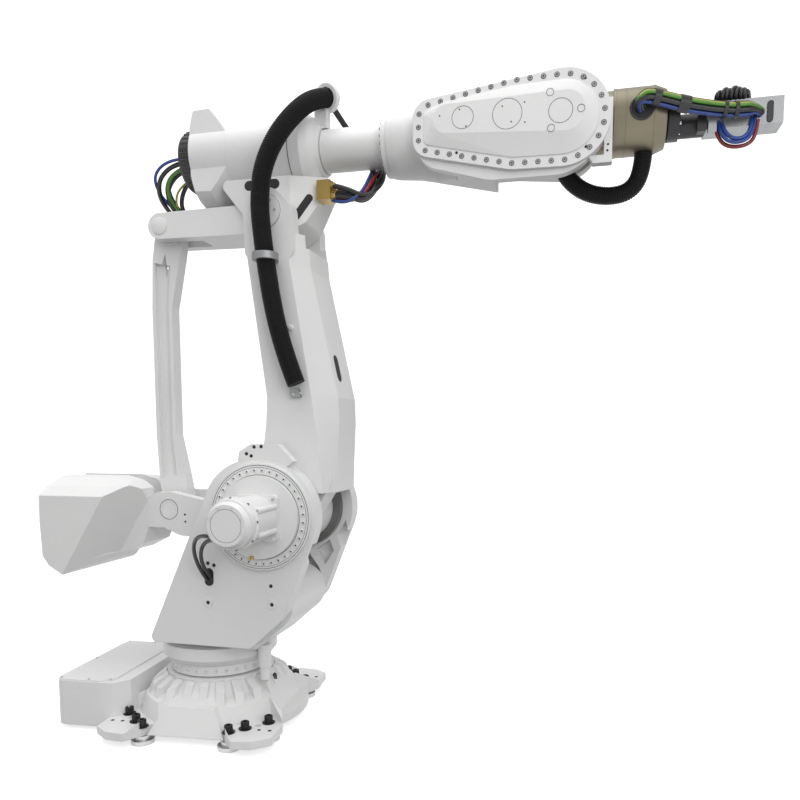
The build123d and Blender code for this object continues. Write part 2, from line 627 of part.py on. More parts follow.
def counterweight():
    """The cast block that balances the upper arm, crowned on top and bevelled to the lever."""
    weight = side_plate(side_polygon(REAR_X, SHOULDER_Z, WEIGHT_OUTLINE), -WEIGHT_HALF, WEIGHT_HALF)
    crown = [(y, SHOULDER_Z + z) for y, z in WEIGHT_CROWN]
    crown = crown + [(WEIGHT_HALF, 0), (-WEIGHT_HALF, 0)] + [(-y, z) for y, z in crown[:0:-1]]
    weight &= end_plate(crown, REAR_X - LINK - LINK, REAR_X)
    weight -= side_plate(side_polygon(REAR_X, SHOULDER_Z, WEIGHT_FALL), -WEIGHT_HALF, WEIGHT_HALF)
    core = weight & block(REAR_X + WEIGHT_CORE, REAR_X, -FORK_OUT, FORK_OUT, SHOULDER_Z - WEIGHT_TOP,
                          SHOULDER_Z + WEIGHT_TOP)
    x, y, z = WEIGHT_BEVEL_AT
    across, along, up = WEIGHT_BEVEL_DIR
    for sign in (1, -1):
        bevel = Plane(origin=(REAR_X + x, sign * y, SHOULDER_Z + z),
                      z_dir=(across, sign * along, up))
        weight = split(weight, bisect_by=bevel, keep=Keep.BOTTOM)
    weight += core
    channel = block(REAR_X - 2 * LINK, REAR_X, -FORK_IN, FORK_IN, SHOULDER_Z - CHANNEL_DEEP,
                    SHOULDER_Z + WEIGHT_TOP)
    return largest(weight - channel)


def rod_pin():
    """The pin through the lever's fork and the foot of the rod."""
    return bar_y(LEVER_PIN_R, REAR_X, SHOULDER_Z, -FORK_OUT, FORK_OUT)


ROD_REAR = -122
ROD_FRONT = 2
ROD_BODY_HALF = 38
ROD_FOOT = [(0, 0, ROD_HEAD_R), (26, 150, 32), (-20, 420, 22), (-92, 420, 30), (-80, 150, 30)]
ROD_FOOT_LONG = 400
ROD_WEB_HALF = 14
ROD_LIP = 24
ROD_RECESS = [(ROD_REAR + ROD_LIP, 170), (-2, 190), (ROD_FRONT - ROD_LIP, ROD_FOOT_LONG)]
ROD_SLOT = [(-52, -175), (-30, -120), (-24, -185), (-40, -250)]


def parallel_rod():
    """The long rod that keeps the upper arm parallel to the lever: an I-section with gussets."""
    low, high = SHOULDER_Z + ROD_FOOT_LONG, ELBOW_Z - ROD_FOOT_LONG
    rod = block(REAR_X + ROD_REAR, REAR_X + ROD_FRONT, -ROD_BODY_HALF, ROD_BODY_HALF, low, high)
    recess = [(REAR_X + x, SHOULDER_Z + z) for x, z in ROD_RECESS]
    recess += [(REAR_X + x, ELBOW_Z - z) for x, z in reversed(ROD_RECESS)]
    foot = side_plate(belt(about(REAR_X, SHOULDER_Z, ROD_FOOT)), -ROD_BODY_HALF, ROD_BODY_HALF)
    foot += bar_y(ROD_HEAD_R, REAR_X, SHOULDER_Z, -ROD_HALF, ROD_HALF)
    rod += foot
    rod += mirror(foot, Plane.XY.offset((SHOULDER_Z + ELBOW_Z) / 2))
    for side in both_sides(side_plate(side_polygon(0, 0, recess), -ROD_HALF, -ROD_WEB_HALF)):
        rod -= side
    rod -= side_plate(side_polygon(REAR_X, ELBOW_Z, ROD_SLOT), -ROD_HALF, ROD_HALF)
    for z in (SHOULDER_Z, ELBOW_Z):
        rod -= bar_y(LINK_PIN_R + PIN_GAP, REAR_X, z, -ROD_HALF - OVERRUN, ROD_HALF + OVERRUN)
    return rod


# Forearm: rolling tube, forked wrist body with its covers.
FOREARM_R = 105
FORK_LONG = 854
FOREARM_END = WRIST_X - FORK_LONG
FLANGE_THICK = 28
FLANGE_R = 155
SPIGOT_R = 96
BODY_HALF = 200
NECK_SHARES = [(0, 0), (0, 0.8), (36, 0.835), (140, 0.88), (240, 0.98), (330, 0.95), (430, 0)]
COVER_THICK = 19
COVER_OUT = BODY_HALF + COVER_THICK
BODY_WALL = 46
SLOT_HALF = BODY_HALF - BODY_WALL
SLOT_REACH = 325
TILT_R = 160
NECK_GAP = 12
WRIST_NECK_R = SLOT_HALF - NECK_GAP
TILT_PIN_R = 70
NEAR_PEAR = [(-614, -73, 84), (-204, -33, 213), (8, -33, 217), (-614, 27, 84)]
FAIRING = [(-560, -85, 125), (-300, -68, 212), (-25, -68, 212), (-100, -33, 180)]
FAR_PEAR = [(-574, 0, 118), (8, 0, 175)]


def forearm_tube():
    """The tube that rolls in the upper arm, with its bolted flange."""
    tube = bar_x(FOREARM_R, RING_FRONT + RUN, FOREARM_END - FLANGE_THICK, 0, ROLL_Z)
    spigot = bar_x(SPIGOT_R, RING_FRONT + PIN_GAP, RING_FRONT + RUN, 0, ROLL_Z)
    return tube + spigot + bar_x(FLANGE_R, FOREARM_END - FLANGE_THICK, FOREARM_END, 0, ROLL_Z)


def near_pear():
    """The outline of the near side of the wrist body."""
    return belt(about(WRIST_X, ROLL_Z, NEAR_PEAR))


def far_pear():
    """The smaller outline of its far side."""
    return belt(about(WRIST_X, ROLL_Z, FAR_PEAR))


def wrist_body():
    """The forked casting that holds the tilting wrist."""
    near = side_plate(near_pear(), -BODY_HALF, 0)
    body = near + side_plate(near_pear(), 0, SLOT_HALF) + side_plate(far_pear(), SLOT_HALF, BODY_HALF)
    body += side_plate(belt(about(WRIST_X, ROLL_Z, FAIRING)), -BODY_HALF, -SLOT_HALF)
    body += turned_x([(FOREARM_END + x, share * BODY_HALF) for x, share in NECK_SHARES], ROLL_Z)
    body -= block(WRIST_X - SLOT_REACH, WRIST_X + SLOT_REACH, -SLOT_HALF, SLOT_HALF,
                  ROLL_Z - WRIST_REACH / 2, ROLL_Z + WRIST_REACH / 2)
    reach = BODY_HALF + OVERRUN
    return largest(body - bar_y(TILT_PIN_R + PIN_GAP, WRIST_X, ROLL_Z, -reach, reach))


def wrist_covers():
    """The bolted gear covers on the two sides of the wrist body."""
    near = side_plate(near_pear(), -COVER_OUT, -BODY_HALF)
    return Compound(children=[near, side_plate(far_pear(), BODY_HALF, COVER_OUT)])


HOUSING_IN = 236
HOUSING_R = 148
HOUSING_BEVEL = 14
HOUSING_NOSE = 60
HOUSING_NOSE_R = 128
HOUSING_PROFILE = [(HOUSING_IN, 0), (HOUSING_IN, WRIST_NECK_R), (HOUSING_IN + HOUSING_BEVEL, HOUSING_R),
                   (FLANGE_REACH - HOUSING_NOSE, HOUSING_R), (FLANGE_REACH - OVERRUN, HOUSING_NOSE_R),
                   (FLANGE_REACH - OVERRUN, 0)]


def wrist_unit():
    """The tilting wrist: barrel on the tilt axis and neck."""
    barrel = bar_y(TILT_R, WRIST_X, ROLL_Z, -SLOT_HALF + RUN, SLOT_HALF - RUN)
    journal = bar_y(TILT_PIN_R, WRIST_X, ROLL_Z, -BODY_HALF + PIN_GAP, BODY_HALF - PIN_GAP)
    return barrel + journal + bar_x(WRIST_NECK_R, WRIST_X, WRIST_X + HOUSING_IN, 0, ROLL_Z)


def wrist_housing():
    """The round housing of the last axis."""
    return turned_x([(WRIST_X + x, radius) for x, radius in HOUSING_PROFILE], ROLL_Z)


TOOL_SPIGOT_R = 70
TOOL_FLANGE_R = 100
TOOL_FLANGE_THICK = 50
BEAM_R = 52
BEAM_DROP = 40
BEAM_LONG = 165
BRACKET_LONG = 494
BRACKET_LOW = -84
BRACKET_TOP = 35
BRACKET_HALF = 60
BRACKET_WALL = 12


def tool_flange():
    """The turning flange for the tool."""
    housing_end = WRIST_X + FLANGE_REACH - OVERRUN
    spigot = bar_x(TOOL_SPIGOT_R, housing_end + PIN_GAP, FLANGE_X, 0, ROLL_Z)
    return spigot + bar_x(TOOL_FLANGE_R, FLANGE_X, FLANGE_X + TOOL_FLANGE_THICK, 0, ROLL_Z)


def tool_beam():
    """The tube that carries the bracket."""
    return bar_x(BEAM_R, FLANGE_X + TOOL_FLANGE_THICK, FLANGE_X + BEAM_LONG, 0, ROLL_Z - BEAM_DROP)


def tool_bracket():
    """The channel bracket at the end of the arm."""
    low, high = ROLL_Z + BRACKET_LOW, ROLL_Z + BRACKET_TOP
    end = FLANGE_X + BRACKET_LONG
    channel = block(FLANGE_X + BEAM_LONG, end, -BRACKET_HALF, BRACKET_HALF, low, high)
    return channel - block(FLANGE_X + BEAM_LONG + BRACKET_WALL, end + OVERRUN, BRACKET_WALL - BRACKET_HALF,
                           BRACKET_HALF + OVERRUN, low + BRACKET_WALL, high - BRACKET_WALL)


WRIST_HOSE_R = 42
WRIST_HOSE = ((1925, 0, 2900), (1950, 0, 2860), (2033, 0, 2800), (2138, 0, 2778), (2230, 0, 2796),
              (2280, 0, 2866), (2288, 0, 2964))
LOOP_R = 9
TOOL_LOOPS = (((2590, -66, 3045), (2606, -72, 2985), (2640, -76, 2942), (2700, -76, 2932), (2752, -72, 2950),
               (2772, -66, 3000), (2776, -62, 3050)),
              ((2620, -60, 3060), (2626, -88, 3010), (2660, -98, 2965), (2710, -98, 2960), (2745, -88, 3000),
               (2750, -60, 3060)))


def pieces():
    """Every piece by name, those that are cut to fit others after them."""
    casting, drum, frame = base_casting(), turret_drum(), turret_frame()
    housing, body, barrel = elbow_housing(), wrist_body(), wrist_unit() + wrist_housing()
    made = {
        "base_casting": casting, "levelling_pads": levelling_pads(), "stop_buffer": stop_buffer(casting),
        "connection_box": connection_box(casting), "box_lid": box_lid(),
        "turret_drum": drum, "turret_frame": frame, "output_flanges": output_flanges(),
        "stop_bracket": stop_bracket(), "stop_pin": stop_pin(drum, frame),
    }
    for name, side in (("near", -1), ("far", 1)):
        made[f"{name}_gearbox"] = shoulder_gearbox(side)
        made[f"{name}_motor"] = shoulder_motor(side)
    made["motor_cables"] = motor_cables(made["near_motor"] + frame)
    made.update({
        "lower_arm": lower_arm(), "elbow_caps": elbow_caps(), "hose_clamp": hose_clamp(),
        "hose_bracket": hose_bracket(), "elbow_pin": elbow_pin(),
        "elbow_housing": housing, "link_pin": link_pin(), "rear_bell": rear_bell(housing),
        "rear_cap": rear_cap(), "bearing_ring": bearing_ring(), "hose_ring": hose_ring(),
        "connector_block": connector_block(housing),
        "balance_lever": balance_lever(), "counterweight": counterweight(), "rod_pin": rod_pin(),
        "parallel_rod": parallel_rod(),
        "forearm_tube": forearm_tube(), "wrist_body": body, "wrist_covers": wrist_covers(),
        "wrist_unit": wrist_unit(), "wrist_housing": wrist_housing(),
        "tool_flange": tool_flange(), "tool_beam": tool_beam(), "tool_bracket": tool_bracket(),
        "dress_hose_low": hose(HOSE_LOW, HOSE_R), "dress_hose_high": hose(HOSE_HIGH, HOSE_R),
        "wrist_hose": largest(hose(WRIST_HOSE, WRIST_HOSE_R) - body - barrel),
    })
    front_fit = made["connector_block"] + made["forearm_tube"] + made["dress_hose_high"]
    made["front_cables"] = cable_set(FRONT_CABLES, CABLE_R, front_fit)
    made["rear_cables"] = cable_set(REAR_CABLES, CABLE_R, made["rear_cap"] + housing)
    made["tool_loops"] = cable_set(TOOL_LOOPS, LOOP_R, made["tool_bracket"])
    return made


def write_all():
    """Write each piece to its own file."""
    os.makedirs("parts", exist_ok=True)
    for name, piece in pieces().items():
        export_step(piece, f"parts/{name}.step")


write_all()
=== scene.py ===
import math

import bmesh
import bpy
import numpy as np
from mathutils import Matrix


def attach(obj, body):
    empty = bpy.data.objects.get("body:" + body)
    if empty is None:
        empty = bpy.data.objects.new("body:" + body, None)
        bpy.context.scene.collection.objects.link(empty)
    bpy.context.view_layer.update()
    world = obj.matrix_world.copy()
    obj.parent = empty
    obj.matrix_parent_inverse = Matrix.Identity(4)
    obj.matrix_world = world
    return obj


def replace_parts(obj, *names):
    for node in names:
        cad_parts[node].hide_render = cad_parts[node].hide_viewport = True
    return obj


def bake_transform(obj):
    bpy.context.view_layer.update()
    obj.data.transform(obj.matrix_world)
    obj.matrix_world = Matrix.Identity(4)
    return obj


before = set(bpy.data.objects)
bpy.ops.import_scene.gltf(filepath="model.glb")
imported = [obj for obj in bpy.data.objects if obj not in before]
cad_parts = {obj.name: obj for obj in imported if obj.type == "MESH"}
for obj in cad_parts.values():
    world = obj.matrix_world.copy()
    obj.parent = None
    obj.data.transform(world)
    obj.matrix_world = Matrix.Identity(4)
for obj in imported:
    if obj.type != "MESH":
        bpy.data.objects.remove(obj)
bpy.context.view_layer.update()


# Studio: a white floor that meets a white surround, one broad lamp overhead and a weaker one in front, and
# a camera where the photograph was taken, four metres from the turning axis. The sky that lights the
# machine brightens from straight below to straight above, and the floor throws no light back up.
PIXELS = 800
FOCAL_PIXELS = 705.6
CENTRE_PIXEL = (415.05, 502.57)
CAMERA_PLACE = (2.022, -3.678, 1.629)
CAMERA_DOWN = math.radians(5.51)
CAMERA_TURN = math.radians(13.10)
FILM_WIDTH = 36.0
SKY_STOPS = ((0.0, 0.16), (0.48, 0.38), (0.60, 0.66), (1.0, 1.0))
LAMPS = (("overhead lamp", (0.4, -0.6, 6.5), 5.0, 135), ("front lamp", (4.5, -4.5, 3.8), 3.0, 95))
SURROUND_GLOW = 1.3
LAMP_AIM = (0.8, 0.0, 1.6)
FLOOR_HALF = 40

camera_data = bpy.data.cameras.new("camera")
camera_data.sensor_width = FILM_WIDTH
camera_data.lens = FOCAL_PIXELS / PIXELS * FILM_WIDTH
camera_data.shift_x = (PIXELS / 2 - CENTRE_PIXEL[0]) / PIXELS
camera_data.shift_y = (CENTRE_PIXEL[1] - PIXELS / 2) / PIXELS
camera = bpy.data.objects.new("camera", camera_data)
camera.location = CAMERA_PLACE
camera.rotation_euler = (math.pi / 2 - CAMERA_DOWN, 0, CAMERA_TURN)
bpy.context.scene.collection.objects.link(camera)
bpy.context.scene.camera = camera

world = bpy.data.worlds.new("white surround")
world.use_nodes = True
sky = world.node_tree
surround, glow = sky.nodes["Background"], sky.nodes.new("ShaderNodeBackground")
heading = sky.nodes.new("ShaderNodeTexCoord")
height = sky.nodes.new("ShaderNodeSeparateXYZ")
level, shade = sky.nodes.new("ShaderNodeMapRange"), sky.nodes.new("ShaderNodeValToRGB")
sight, choice = sky.nodes.new("ShaderNodeLightPath"), sky.nodes.new("ShaderNodeMixShader")
level.inputs["From Min"].default_value = -1
for index, (position, grey) in enumerate(SKY_STOPS):
    stop = shade.color_ramp.elements[index] if index < 2 else shade.color_ramp.elements.new(position)
    stop.position, stop.color = position, (grey, grey, grey, 1)
for start, end in (
    (heading.outputs["Generated"], height.inputs[0]), (height.outputs["Z"], level.inputs[0]),
    (level.outputs[0], shade.inputs[0]), (shade.outputs[0], glow.inputs["Color"]),
    (sight.outputs["Is Camera Ray"], choice.inputs[0]), (glow.outputs[0], choice.inputs[1]),
    (surround.outputs[0], choice.inputs[2]), (choice.outputs[0], sky.nodes["World Output"].inputs["Surface"]),
):
    sky.links.new(start, end)
surround.inputs["Color"].default_value = (1, 1, 1, 1)
surround.inputs["Strength"].default_value = SURROUND_GLOW
bpy.context.scene.world = world
bpy.context.scene.view_settings.view_transform = "Standard"

for lamp_name, place, size, power in LAMPS:
    lamp_data = bpy.data.lights.new(lamp_name, "AREA")
    lamp_data.size = size
    lamp_data.energy = power
    lamp = bpy.data.objects.new(lamp_name, lamp_data)
    lamp.location = place
    aim = np.array(LAMP_AIM) - np.array(place)
    lamp.rotation_euler = (math.acos(-aim[2] / np.linalg.norm(aim)), 0,
                           math.atan2(aim[1], aim[0]) - math.pi / 2)
    bpy.context.scene.collection.objects.link(lamp)

floor_mesh = bpy.data.meshes.new("floor")
floor_corners = [(x * FLOOR_HALF, y * FLOOR_HALF, 0) for x, y in ((-1, -1), (1, -1), (1, 1), (-1, 1))]
floor_mesh.from_pydata(floor_corners, [], [(0, 1, 2, 3)])
floor = bpy.data.objects.new("floor", floor_mesh)
floor.visible_diffuse = False
bpy.context.scene.collection.objects.link(floor)


# Paint: the castings are primed and sprayed satin light grey, almost white. Under it the skin of the
# casting shows faintly, and the sharp edges of a casting are always a few millimetres round.
class Socket:
    """A node's output: an expression with numbers or other sockets adds the Math nodes for it."""

    def __init__(self, finish, output):
        self.finish, self.output = finish, output

    def maths(self, operation, left, right):
        return self.finish.node("ShaderNodeMath", {"operation": operation}, {0: left, 1: right})

    def __add__(self, other):
        return self.maths("ADD", self, other)

    def __sub__(self, other):
        return self.maths("SUBTRACT", self, other)

    def __rsub__(self, other):
        return self.maths("SUBTRACT", other, self)

    def __mul__(self, other):
        return self.maths("MULTIPLY", self, other)

    __radd__, __rmul__ = __add__, __mul__


class Finish:
    """A material with its shader, and the record's slot that its pieces belong to."""

    def __init__(self, name, slot):
        self.slot = slot
        self.material = bpy.data.materials.new(name)
        self.material.use_nodes = True
        self.tree = self.material.node_tree
        self.shader = self.tree.nodes["Principled BSDF"]
        self.place = self.node("ShaderNodeTexCoord", {}, {}, "Object")

    def node(self, kind, settings, inputs, output=0):
        """Adds a node: its settings first, with a ramp's stops among them, then its sockets."""
        node = self.tree.nodes.new(kind)
        for name, value in settings.items():
            if name == "stops":
                for index, (position, shade) in enumerate(value):
                    ramp = node.color_ramp.elements
                    stop = ramp[index] if index < 2 else ramp.new(position)
                    stop.position, stop.color = position, (shade, shade, shade, 1)
            else:
                setattr(node, name, value)
        for name, value in inputs.items():
            self.feed(node.inputs[name], value)
        return Socket(self, node.outputs[output])

    def feed(self, socket, value):
        """Links a socket or sets its own value."""
        if isinstance(value, Socket):
            self.tree.links.new(value.output, socket)
        else:
            socket.default_value = value

    def noise(self, scale, detail=3, rough=0.5):
        """Cloudy noise from 0 to 1, of so many clouds a metre."""
        return self.node("ShaderNodeTexNoise", {}, {"Vector": self.place, "Scale": scale, "Detail": detail,
                                                    "Roughness": rough})

    def blend(self, share, first, second):
        """A colour between two others."""
        return self.node("ShaderNodeMix", {"data_type": "RGBA"},
                         {0: share, 6: (*first, 1), 7: (*second, 1)}, 2)

    def bumped(self, height, depth, round_edge=0.0):
        """The normal of a skin that many metres deep, over edges of that radius."""
        inputs = {"Height": height, "Distance": depth}
        if round_edge:
            inputs["Normal"] = self.node("ShaderNodeBevel", {"samples": 6}, {"Radius": round_edge})
        return self.node("ShaderNodeBump", {}, inputs)

    def finish(self, **sockets):
        """Feeds the shader's sockets, named with underscores for spaces."""
        for name, value in sockets.items():
            self.feed(self.shader.inputs[name.replace("_", " ").title().replace("Ior", "IOR")], value)
        return self


def sprayed(name, slot, shade, shadow, round_edge=0.004):
    """Satin paint on cast iron: a faint orange peel over a faint cloudiness."""
    paint = Finish(name, slot)
    cloud = paint.node("ShaderNodeValToRGB", {"stops": ((0.35, 0), (0.7, 1))}, {"Fac": paint.noise(2.2)})
    peel = paint.noise(260, 2) + paint.noise(38, 2) * 1.5
    return paint.finish(base_color=paint.blend(cloud, shadow, shade), roughness=paint.noise(9) * 0.12 + 0.36,
                        normal=paint.bumped(peel, 0.0006, round_edge))


def painted(finish, *nodes):
    """Gives CAD nodes a finish."""
    for name in nodes:
        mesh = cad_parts[name].data
        mesh.materials.clear()
        mesh.materials.append(finish.material)


screed = Finish("white floor", "paint")
screed.finish(base_color=screed.blend(screed.noise(0.8), (0.86, 0.86, 0.86), (0.88, 0.88, 0.88)),
              roughness=0.9, emission_color=(1, 1, 1, 1), emission_strength=0.55)
floor_mesh.materials.append(screed.material)
white_paint = sprayed("white paint", "paint", (0.80, 0.80, 0.795), (0.76, 0.765, 0.76))
painted(white_paint, "base_casting", "connection_box", "box_lid", "turret_drum", "turret_frame",
        "stop_bracket", "stop_pin", "near_gearbox", "far_gearbox", "near_motor", "far_motor", "lower_arm",
        "elbow_caps", "elbow_housing", "link_pin", "rear_bell", "bearing_ring", "hose_ring", "balance_lever",
        "counterweight", "parallel_rod", "forearm_tube", "wrist_body", "wrist_covers")


# Base screws: four feet, each held by three black socket screws on hard washers, with two small
# threaded holes beside them, drawn as dark discs of painted shade. Their heads stand clear of the paint,
# and the sockets are dark.
def lathe(profile, around=24, six=()):
    """Rings of points: each (height, radius) turned about the local axis. The rows in six are
    hexagons, whose radius grows towards the corners as 1 / cos of the angle from a flat."""
    height, radius = np.array(profile, float).T
    turn = np.linspace(0, 2 * np.pi, around, endpoint=False)
    reach = np.ones((len(radius), around))
    reach[list(six)] = 1 / np.cos((turn + np.pi / 6) % (np.pi / 3) - np.pi / 6)
    reach = radius[:, None] * reach
    return np.stack([reach * np.cos(turn), reach * np.sin(turn), height[:, None] + 0 * reach], -1)


def placed(shape, at, axis, up=(0, 0, 1)):
    """Copies of a local shape at each place, its height laid along each axis."""
    at = np.atleast_2d(np.array(at, float))
    axis = np.broadcast_to(np.array(axis, float), at.shape)
    axis = axis / np.linalg.norm(axis, axis=-1, keepdims=True)
    side = np.cross(np.broadcast_to(np.array(up, float), at.shape), axis)
    side = side / np.linalg.norm(side, axis=-1, keepdims=True)
    turned = np.stack([side, np.cross(axis, side), axis], 1)
    return np.einsum("rck,nkj->nrcj", shape, turned) + at[:, None, None, :]


def surface(name, body, finish, *grids, smooth=35):
    """A piece made of grids of points (copies, rows, columns, 3). Each row closes on itself, a row
    at radius 0 closes an end, and joined quads run from each row to the next."""
    vertices, faces, start = [], [], 0
    for grid in grids:
        rows, columns = grid.shape[-3:-1]
        copies = grid.reshape(-1, rows * columns, 3)
        row, column = np.mgrid[0:rows - 1, 0:columns]
        after = (column + 1) % columns
        quads = np.stack([row * columns + column, row * columns + after, (row + 1) * columns + after,
                          (row + 1) * columns + column], -1).reshape(-1, 4)
        first = start + np.arange(len(copies)) * rows * columns
        faces.append((quads + first[:, None, None]).reshape(-1, 4))
        vertices.append(copies.reshape(-1, 3))
        start += len(copies) * rows * columns
    mesh = bpy.data.meshes.new(name)
    mesh.from_pydata(np.concatenate(vertices), [], np.concatenate(faces))
    shell = bmesh.new()
    shell.from_mesh(mesh)
    bmesh.ops.remove_doubles(shell, verts=shell.verts, dist=1e-6)
    bmesh.ops.recalc_face_normals(shell, faces=shell.faces)
    shell.to_mesh(mesh)
    shell.free()
    mesh.shade_smooth()
    mesh.set_sharp_from_angle(angle=math.radians(smooth))
    mesh.materials.append(finish.material)
    piece = bpy.data.objects.new(name, mesh)
    bpy.context.scene.collection.objects.link(piece)
    if body:
        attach(piece, body)
    return piece


BASE_TURN = math.radians(4.2)
FOOT_TOP = 0.087
FACE_UP = ((0, 0, 1), (1, 0, 0))
SCREW_PLACES = ((0.242, 0.472), (0.309, 0.414), (0.403, 0.320))
SMALL_HOLES = ((0.387, 0.418), (0.445, 0.418))


def turned_base(points):
    """Points (x, y, z) of the unturned base, turned as it stands."""
    cos, sin = math.cos(BASE_TURN), math.sin(BASE_TURN)
    return np.array(points) @ np.array(((cos, sin, 0), (-sin, cos, 0), (0, 0, 1)))


def on_feet(points):
    """Points (x, y) of one foot's top, on all four feet."""
    corners = ((1, 1), (1, -1), (-1, 1), (-1, -1))
    return turned_base([(x * front, y * side, FOOT_TOP) for front, side in corners for x, y in points])


black_screws = Finish("blackened steel", "black")
black_screws.finish(base_color=(0.022, 0.022, 0.024, 1), metallic=0.6,
                    roughness=black_screws.noise(90) * 0.2 + 0.38,
                    normal=black_screws.bumped(black_screws.noise(500, 2), 0.0002))
# Painted shade: a near-black finish for the thin discs and plates laid over holes, bores, sockets, slots and
# ports, in place of the shade inside them.
painted_hole_shade = Finish("unlit hole", "black")
painted_hole_shade.finish(base_color=(0.012, 0.012, 0.012, 1), roughness=painted_hole_shade.noise(60) * 0.1 + 0.7)

foot_screw = lathe([(0, 0), (0, 0.034), (0.005, 0.034), (0.006, 0.0225), (0.038, 0.0225), (0.041, 0.0195),
                    (0.041, 0.011), (0.022, 0.011), (0.022, 0)], 30, six=(6, 7))
surface("foot_screws", "base", black_screws, placed(foot_screw, on_feet(SCREW_PLACES), *FACE_UP))
# Painted shade: dark discs over the threaded holes.
hole_mark = lathe([(0, 0), (0, 0.010), (0.0006, 0.010), (0.0006, 0)], 20)
surface("foot_threads", "base", painted_hole_shade, placed(hole_mark, on_feet(SMALL_HOLES), *FACE_UP))


# Levelling pads, pins and other bare steel: turned, with fine rings of cutting marks, lightly oiled.
def machined(name, slot, light, dark, rough):
    """Cut metal: streaks a fraction of a millimetre apart that change its polish."""
    metal = Finish(name, slot)
    streak = metal.noise(420, 4, 0.7)
    return metal.finish(base_color=metal.blend(metal.noise(16), dark, light), metallic=1.0,
                        roughness=streak * 0.18 + rough, normal=metal.bumped(streak, 0.0002, 0.0015))


bare_steel = machined("cut steel", "steel", (0.60, 0.60, 0.60), (0.45, 0.45, 0.455), 0.24)
dull_steel = machined("oiled gear steel", "steel", (0.24, 0.24, 0.235), (0.15, 0.15, 0.15), 0.36)
painted(bare_steel, "levelling_pads", "elbow_pin", "rod_pin")
painted(dull_steel, "output_flanges")
black_rubber = Finish("black rubber", "rubber")
black_rubber.finish(base_color=(0.018, 0.018, 0.019, 1), roughness=black_rubber.noise(70) * 0.2 + 0.45,
                    normal=black_rubber.bumped(black_rubber.noise(300), 0.0003))
painted(black_rubber, "stop_buffer")


# Connection box: a bent sheet box whose lid is held by seven small screws near its edges.
LID_TOP = 0.282
LID_SCREWS = ((-0.790, -0.345), (-0.620, -0.352), (-0.500, -0.335), (-0.790, 0.345), (-0.620, 0.352),
              (-0.500, 0.335), (-0.800, 0.0))
small_screw = lathe([(0, 0), (0, 0.0065), (0.003, 0.0065), (0.004, 0.0052), (0.004, 0.003), (0.0015, 0.003),
                     (0.0015, 0)], 18, six=(4, 5))
surface("lid_screws", "base", bare_steel,
        placed(small_screw, turned_base([(x, y, LID_TOP) for x, y in LID_SCREWS]), *FACE_UP))


# Hoses: a black corrugated dress hose climbs the arm from a bracket, passes through a clamp and over
# the elbow into the ring behind the forearm, and a second one loops under the wrist. They are
# moulded rubber with ribs a centimetre apart.
def nurbs(name, points, steps):
    """A NURBS curve of order 3 that ends at its first and last points."""
    curve = bpy.data.curves.new(name, "CURVE")
    curve.dimensions = "3D"
    curve.resolution_u = steps
    line = curve.splines.new("NURBS")
    line.points.add(len(points) - 1)
    line.points.foreach_set("co", np.column_stack([points, np.ones(len(points))]).ravel())
    line.use_endpoint_u = True
    line.order_u = 3
    return curve


def spline(points):
    """The points along a NURBS curve."""
    curve = nurbs("line", points, 24)
    holder = bpy.data.objects.new("line", curve)
    mesh = bpy.data.meshes.new_from_object(holder)
    found = np.empty(len(mesh.vertices) * 3)
    mesh.vertices.foreach_get("co", found)
    bpy.data.objects.remove(holder)
    bpy.data.curves.remove(curve)
    return found.reshape(-1, 3)


def even(line, step):
    """Points about a step apart along a line, and its length."""
    run = np.concatenate([[0], np.cumsum(np.linalg.norm(np.diff(line, axis=0), axis=1))])
    count = max(2, round(run[-1] / step) + 1)
    at = np.linspace(0, run[-1], count)
    return np.stack([np.interp(at, run, line[:, axis]) for axis in range(3)], -1), run[-1]


def tube(line, radius, around, across=(0, 1, 0)):
    """Circles of one radius, or of one at each point, square to a line and closed at its ends:
    point + radius * (side * cos(t) + other * sin(t))."""
    along = np.gradient(line, axis=0)
    along /= np.linalg.norm(along, axis=1, keepdims=True)
    side = np.cross(along, np.array(across, float))
    side /= np.linalg.norm(side, axis=1, keepdims=True)
    other = np.cross(along, side)
    turn = np.linspace(0, 2 * np.pi, around, endpoint=False)[:, None]
    radius = np.broadcast_to(radius, len(line))[:, None, None]
    rings = line[:, None, :] + radius * (side[:, None, :] * np.cos(turn) + other[:, None, :] * np.sin(turn))
    ends = [np.repeat(line[at][None, None], around, 1) for at in (0, -1)]
    return np.concatenate([ends[0], rings, ends[1]])


HOSE_R = 0.047
HOSE_Y = -0.312
RIB_STEP = 0.010
RIB_DEEP = 0.0032
RIB_ROWS = 6
HOSE_LOW = ((0.619, -0.300, 1.885), (0.578, -0.304, 1.990), (0.512, HOSE_Y, 2.225), (0.468, HOSE_Y, 2.510),
            (0.446, HOSE_Y, 2.720), (0.446, HOSE_Y, 2.758))
HOSE_HIGH = ((0.446, HOSE_Y, 2.7585), (0.446, HOSE_Y, 2.830), (0.470, -0.314, 2.960), (0.545, -0.300, 3.110),
             (0.634, -0.212, 3.262), (0.688, -0.096, 3.346), (0.712, -0.020, 3.372))
WRIST_HOSE_R = 0.042
WRIST_HOSE = ((1.925, 0, 2.900), (1.950, 0, 2.860), (2.033, 0, 2.800), (2.138, 0, 2.778), (2.230, 0, 2.796),
              (2.280, 0, 2.866), (2.288, 0, 2.964))
hose_rubber = Finish("ribbed hose rubber", "rubber")
hose_rubber.finish(base_color=hose_rubber.blend(hose_rubber.noise(30), (0.004, 0.004, 0.0045),
                                                (0.009, 0.009, 0.0095)),
                   roughness=hose_rubber.noise(120) * 0.18 + 0.42, specular_ior_level=0.12,
                   normal=hose_rubber.bumped(hose_rubber.noise(420), 0.0003))


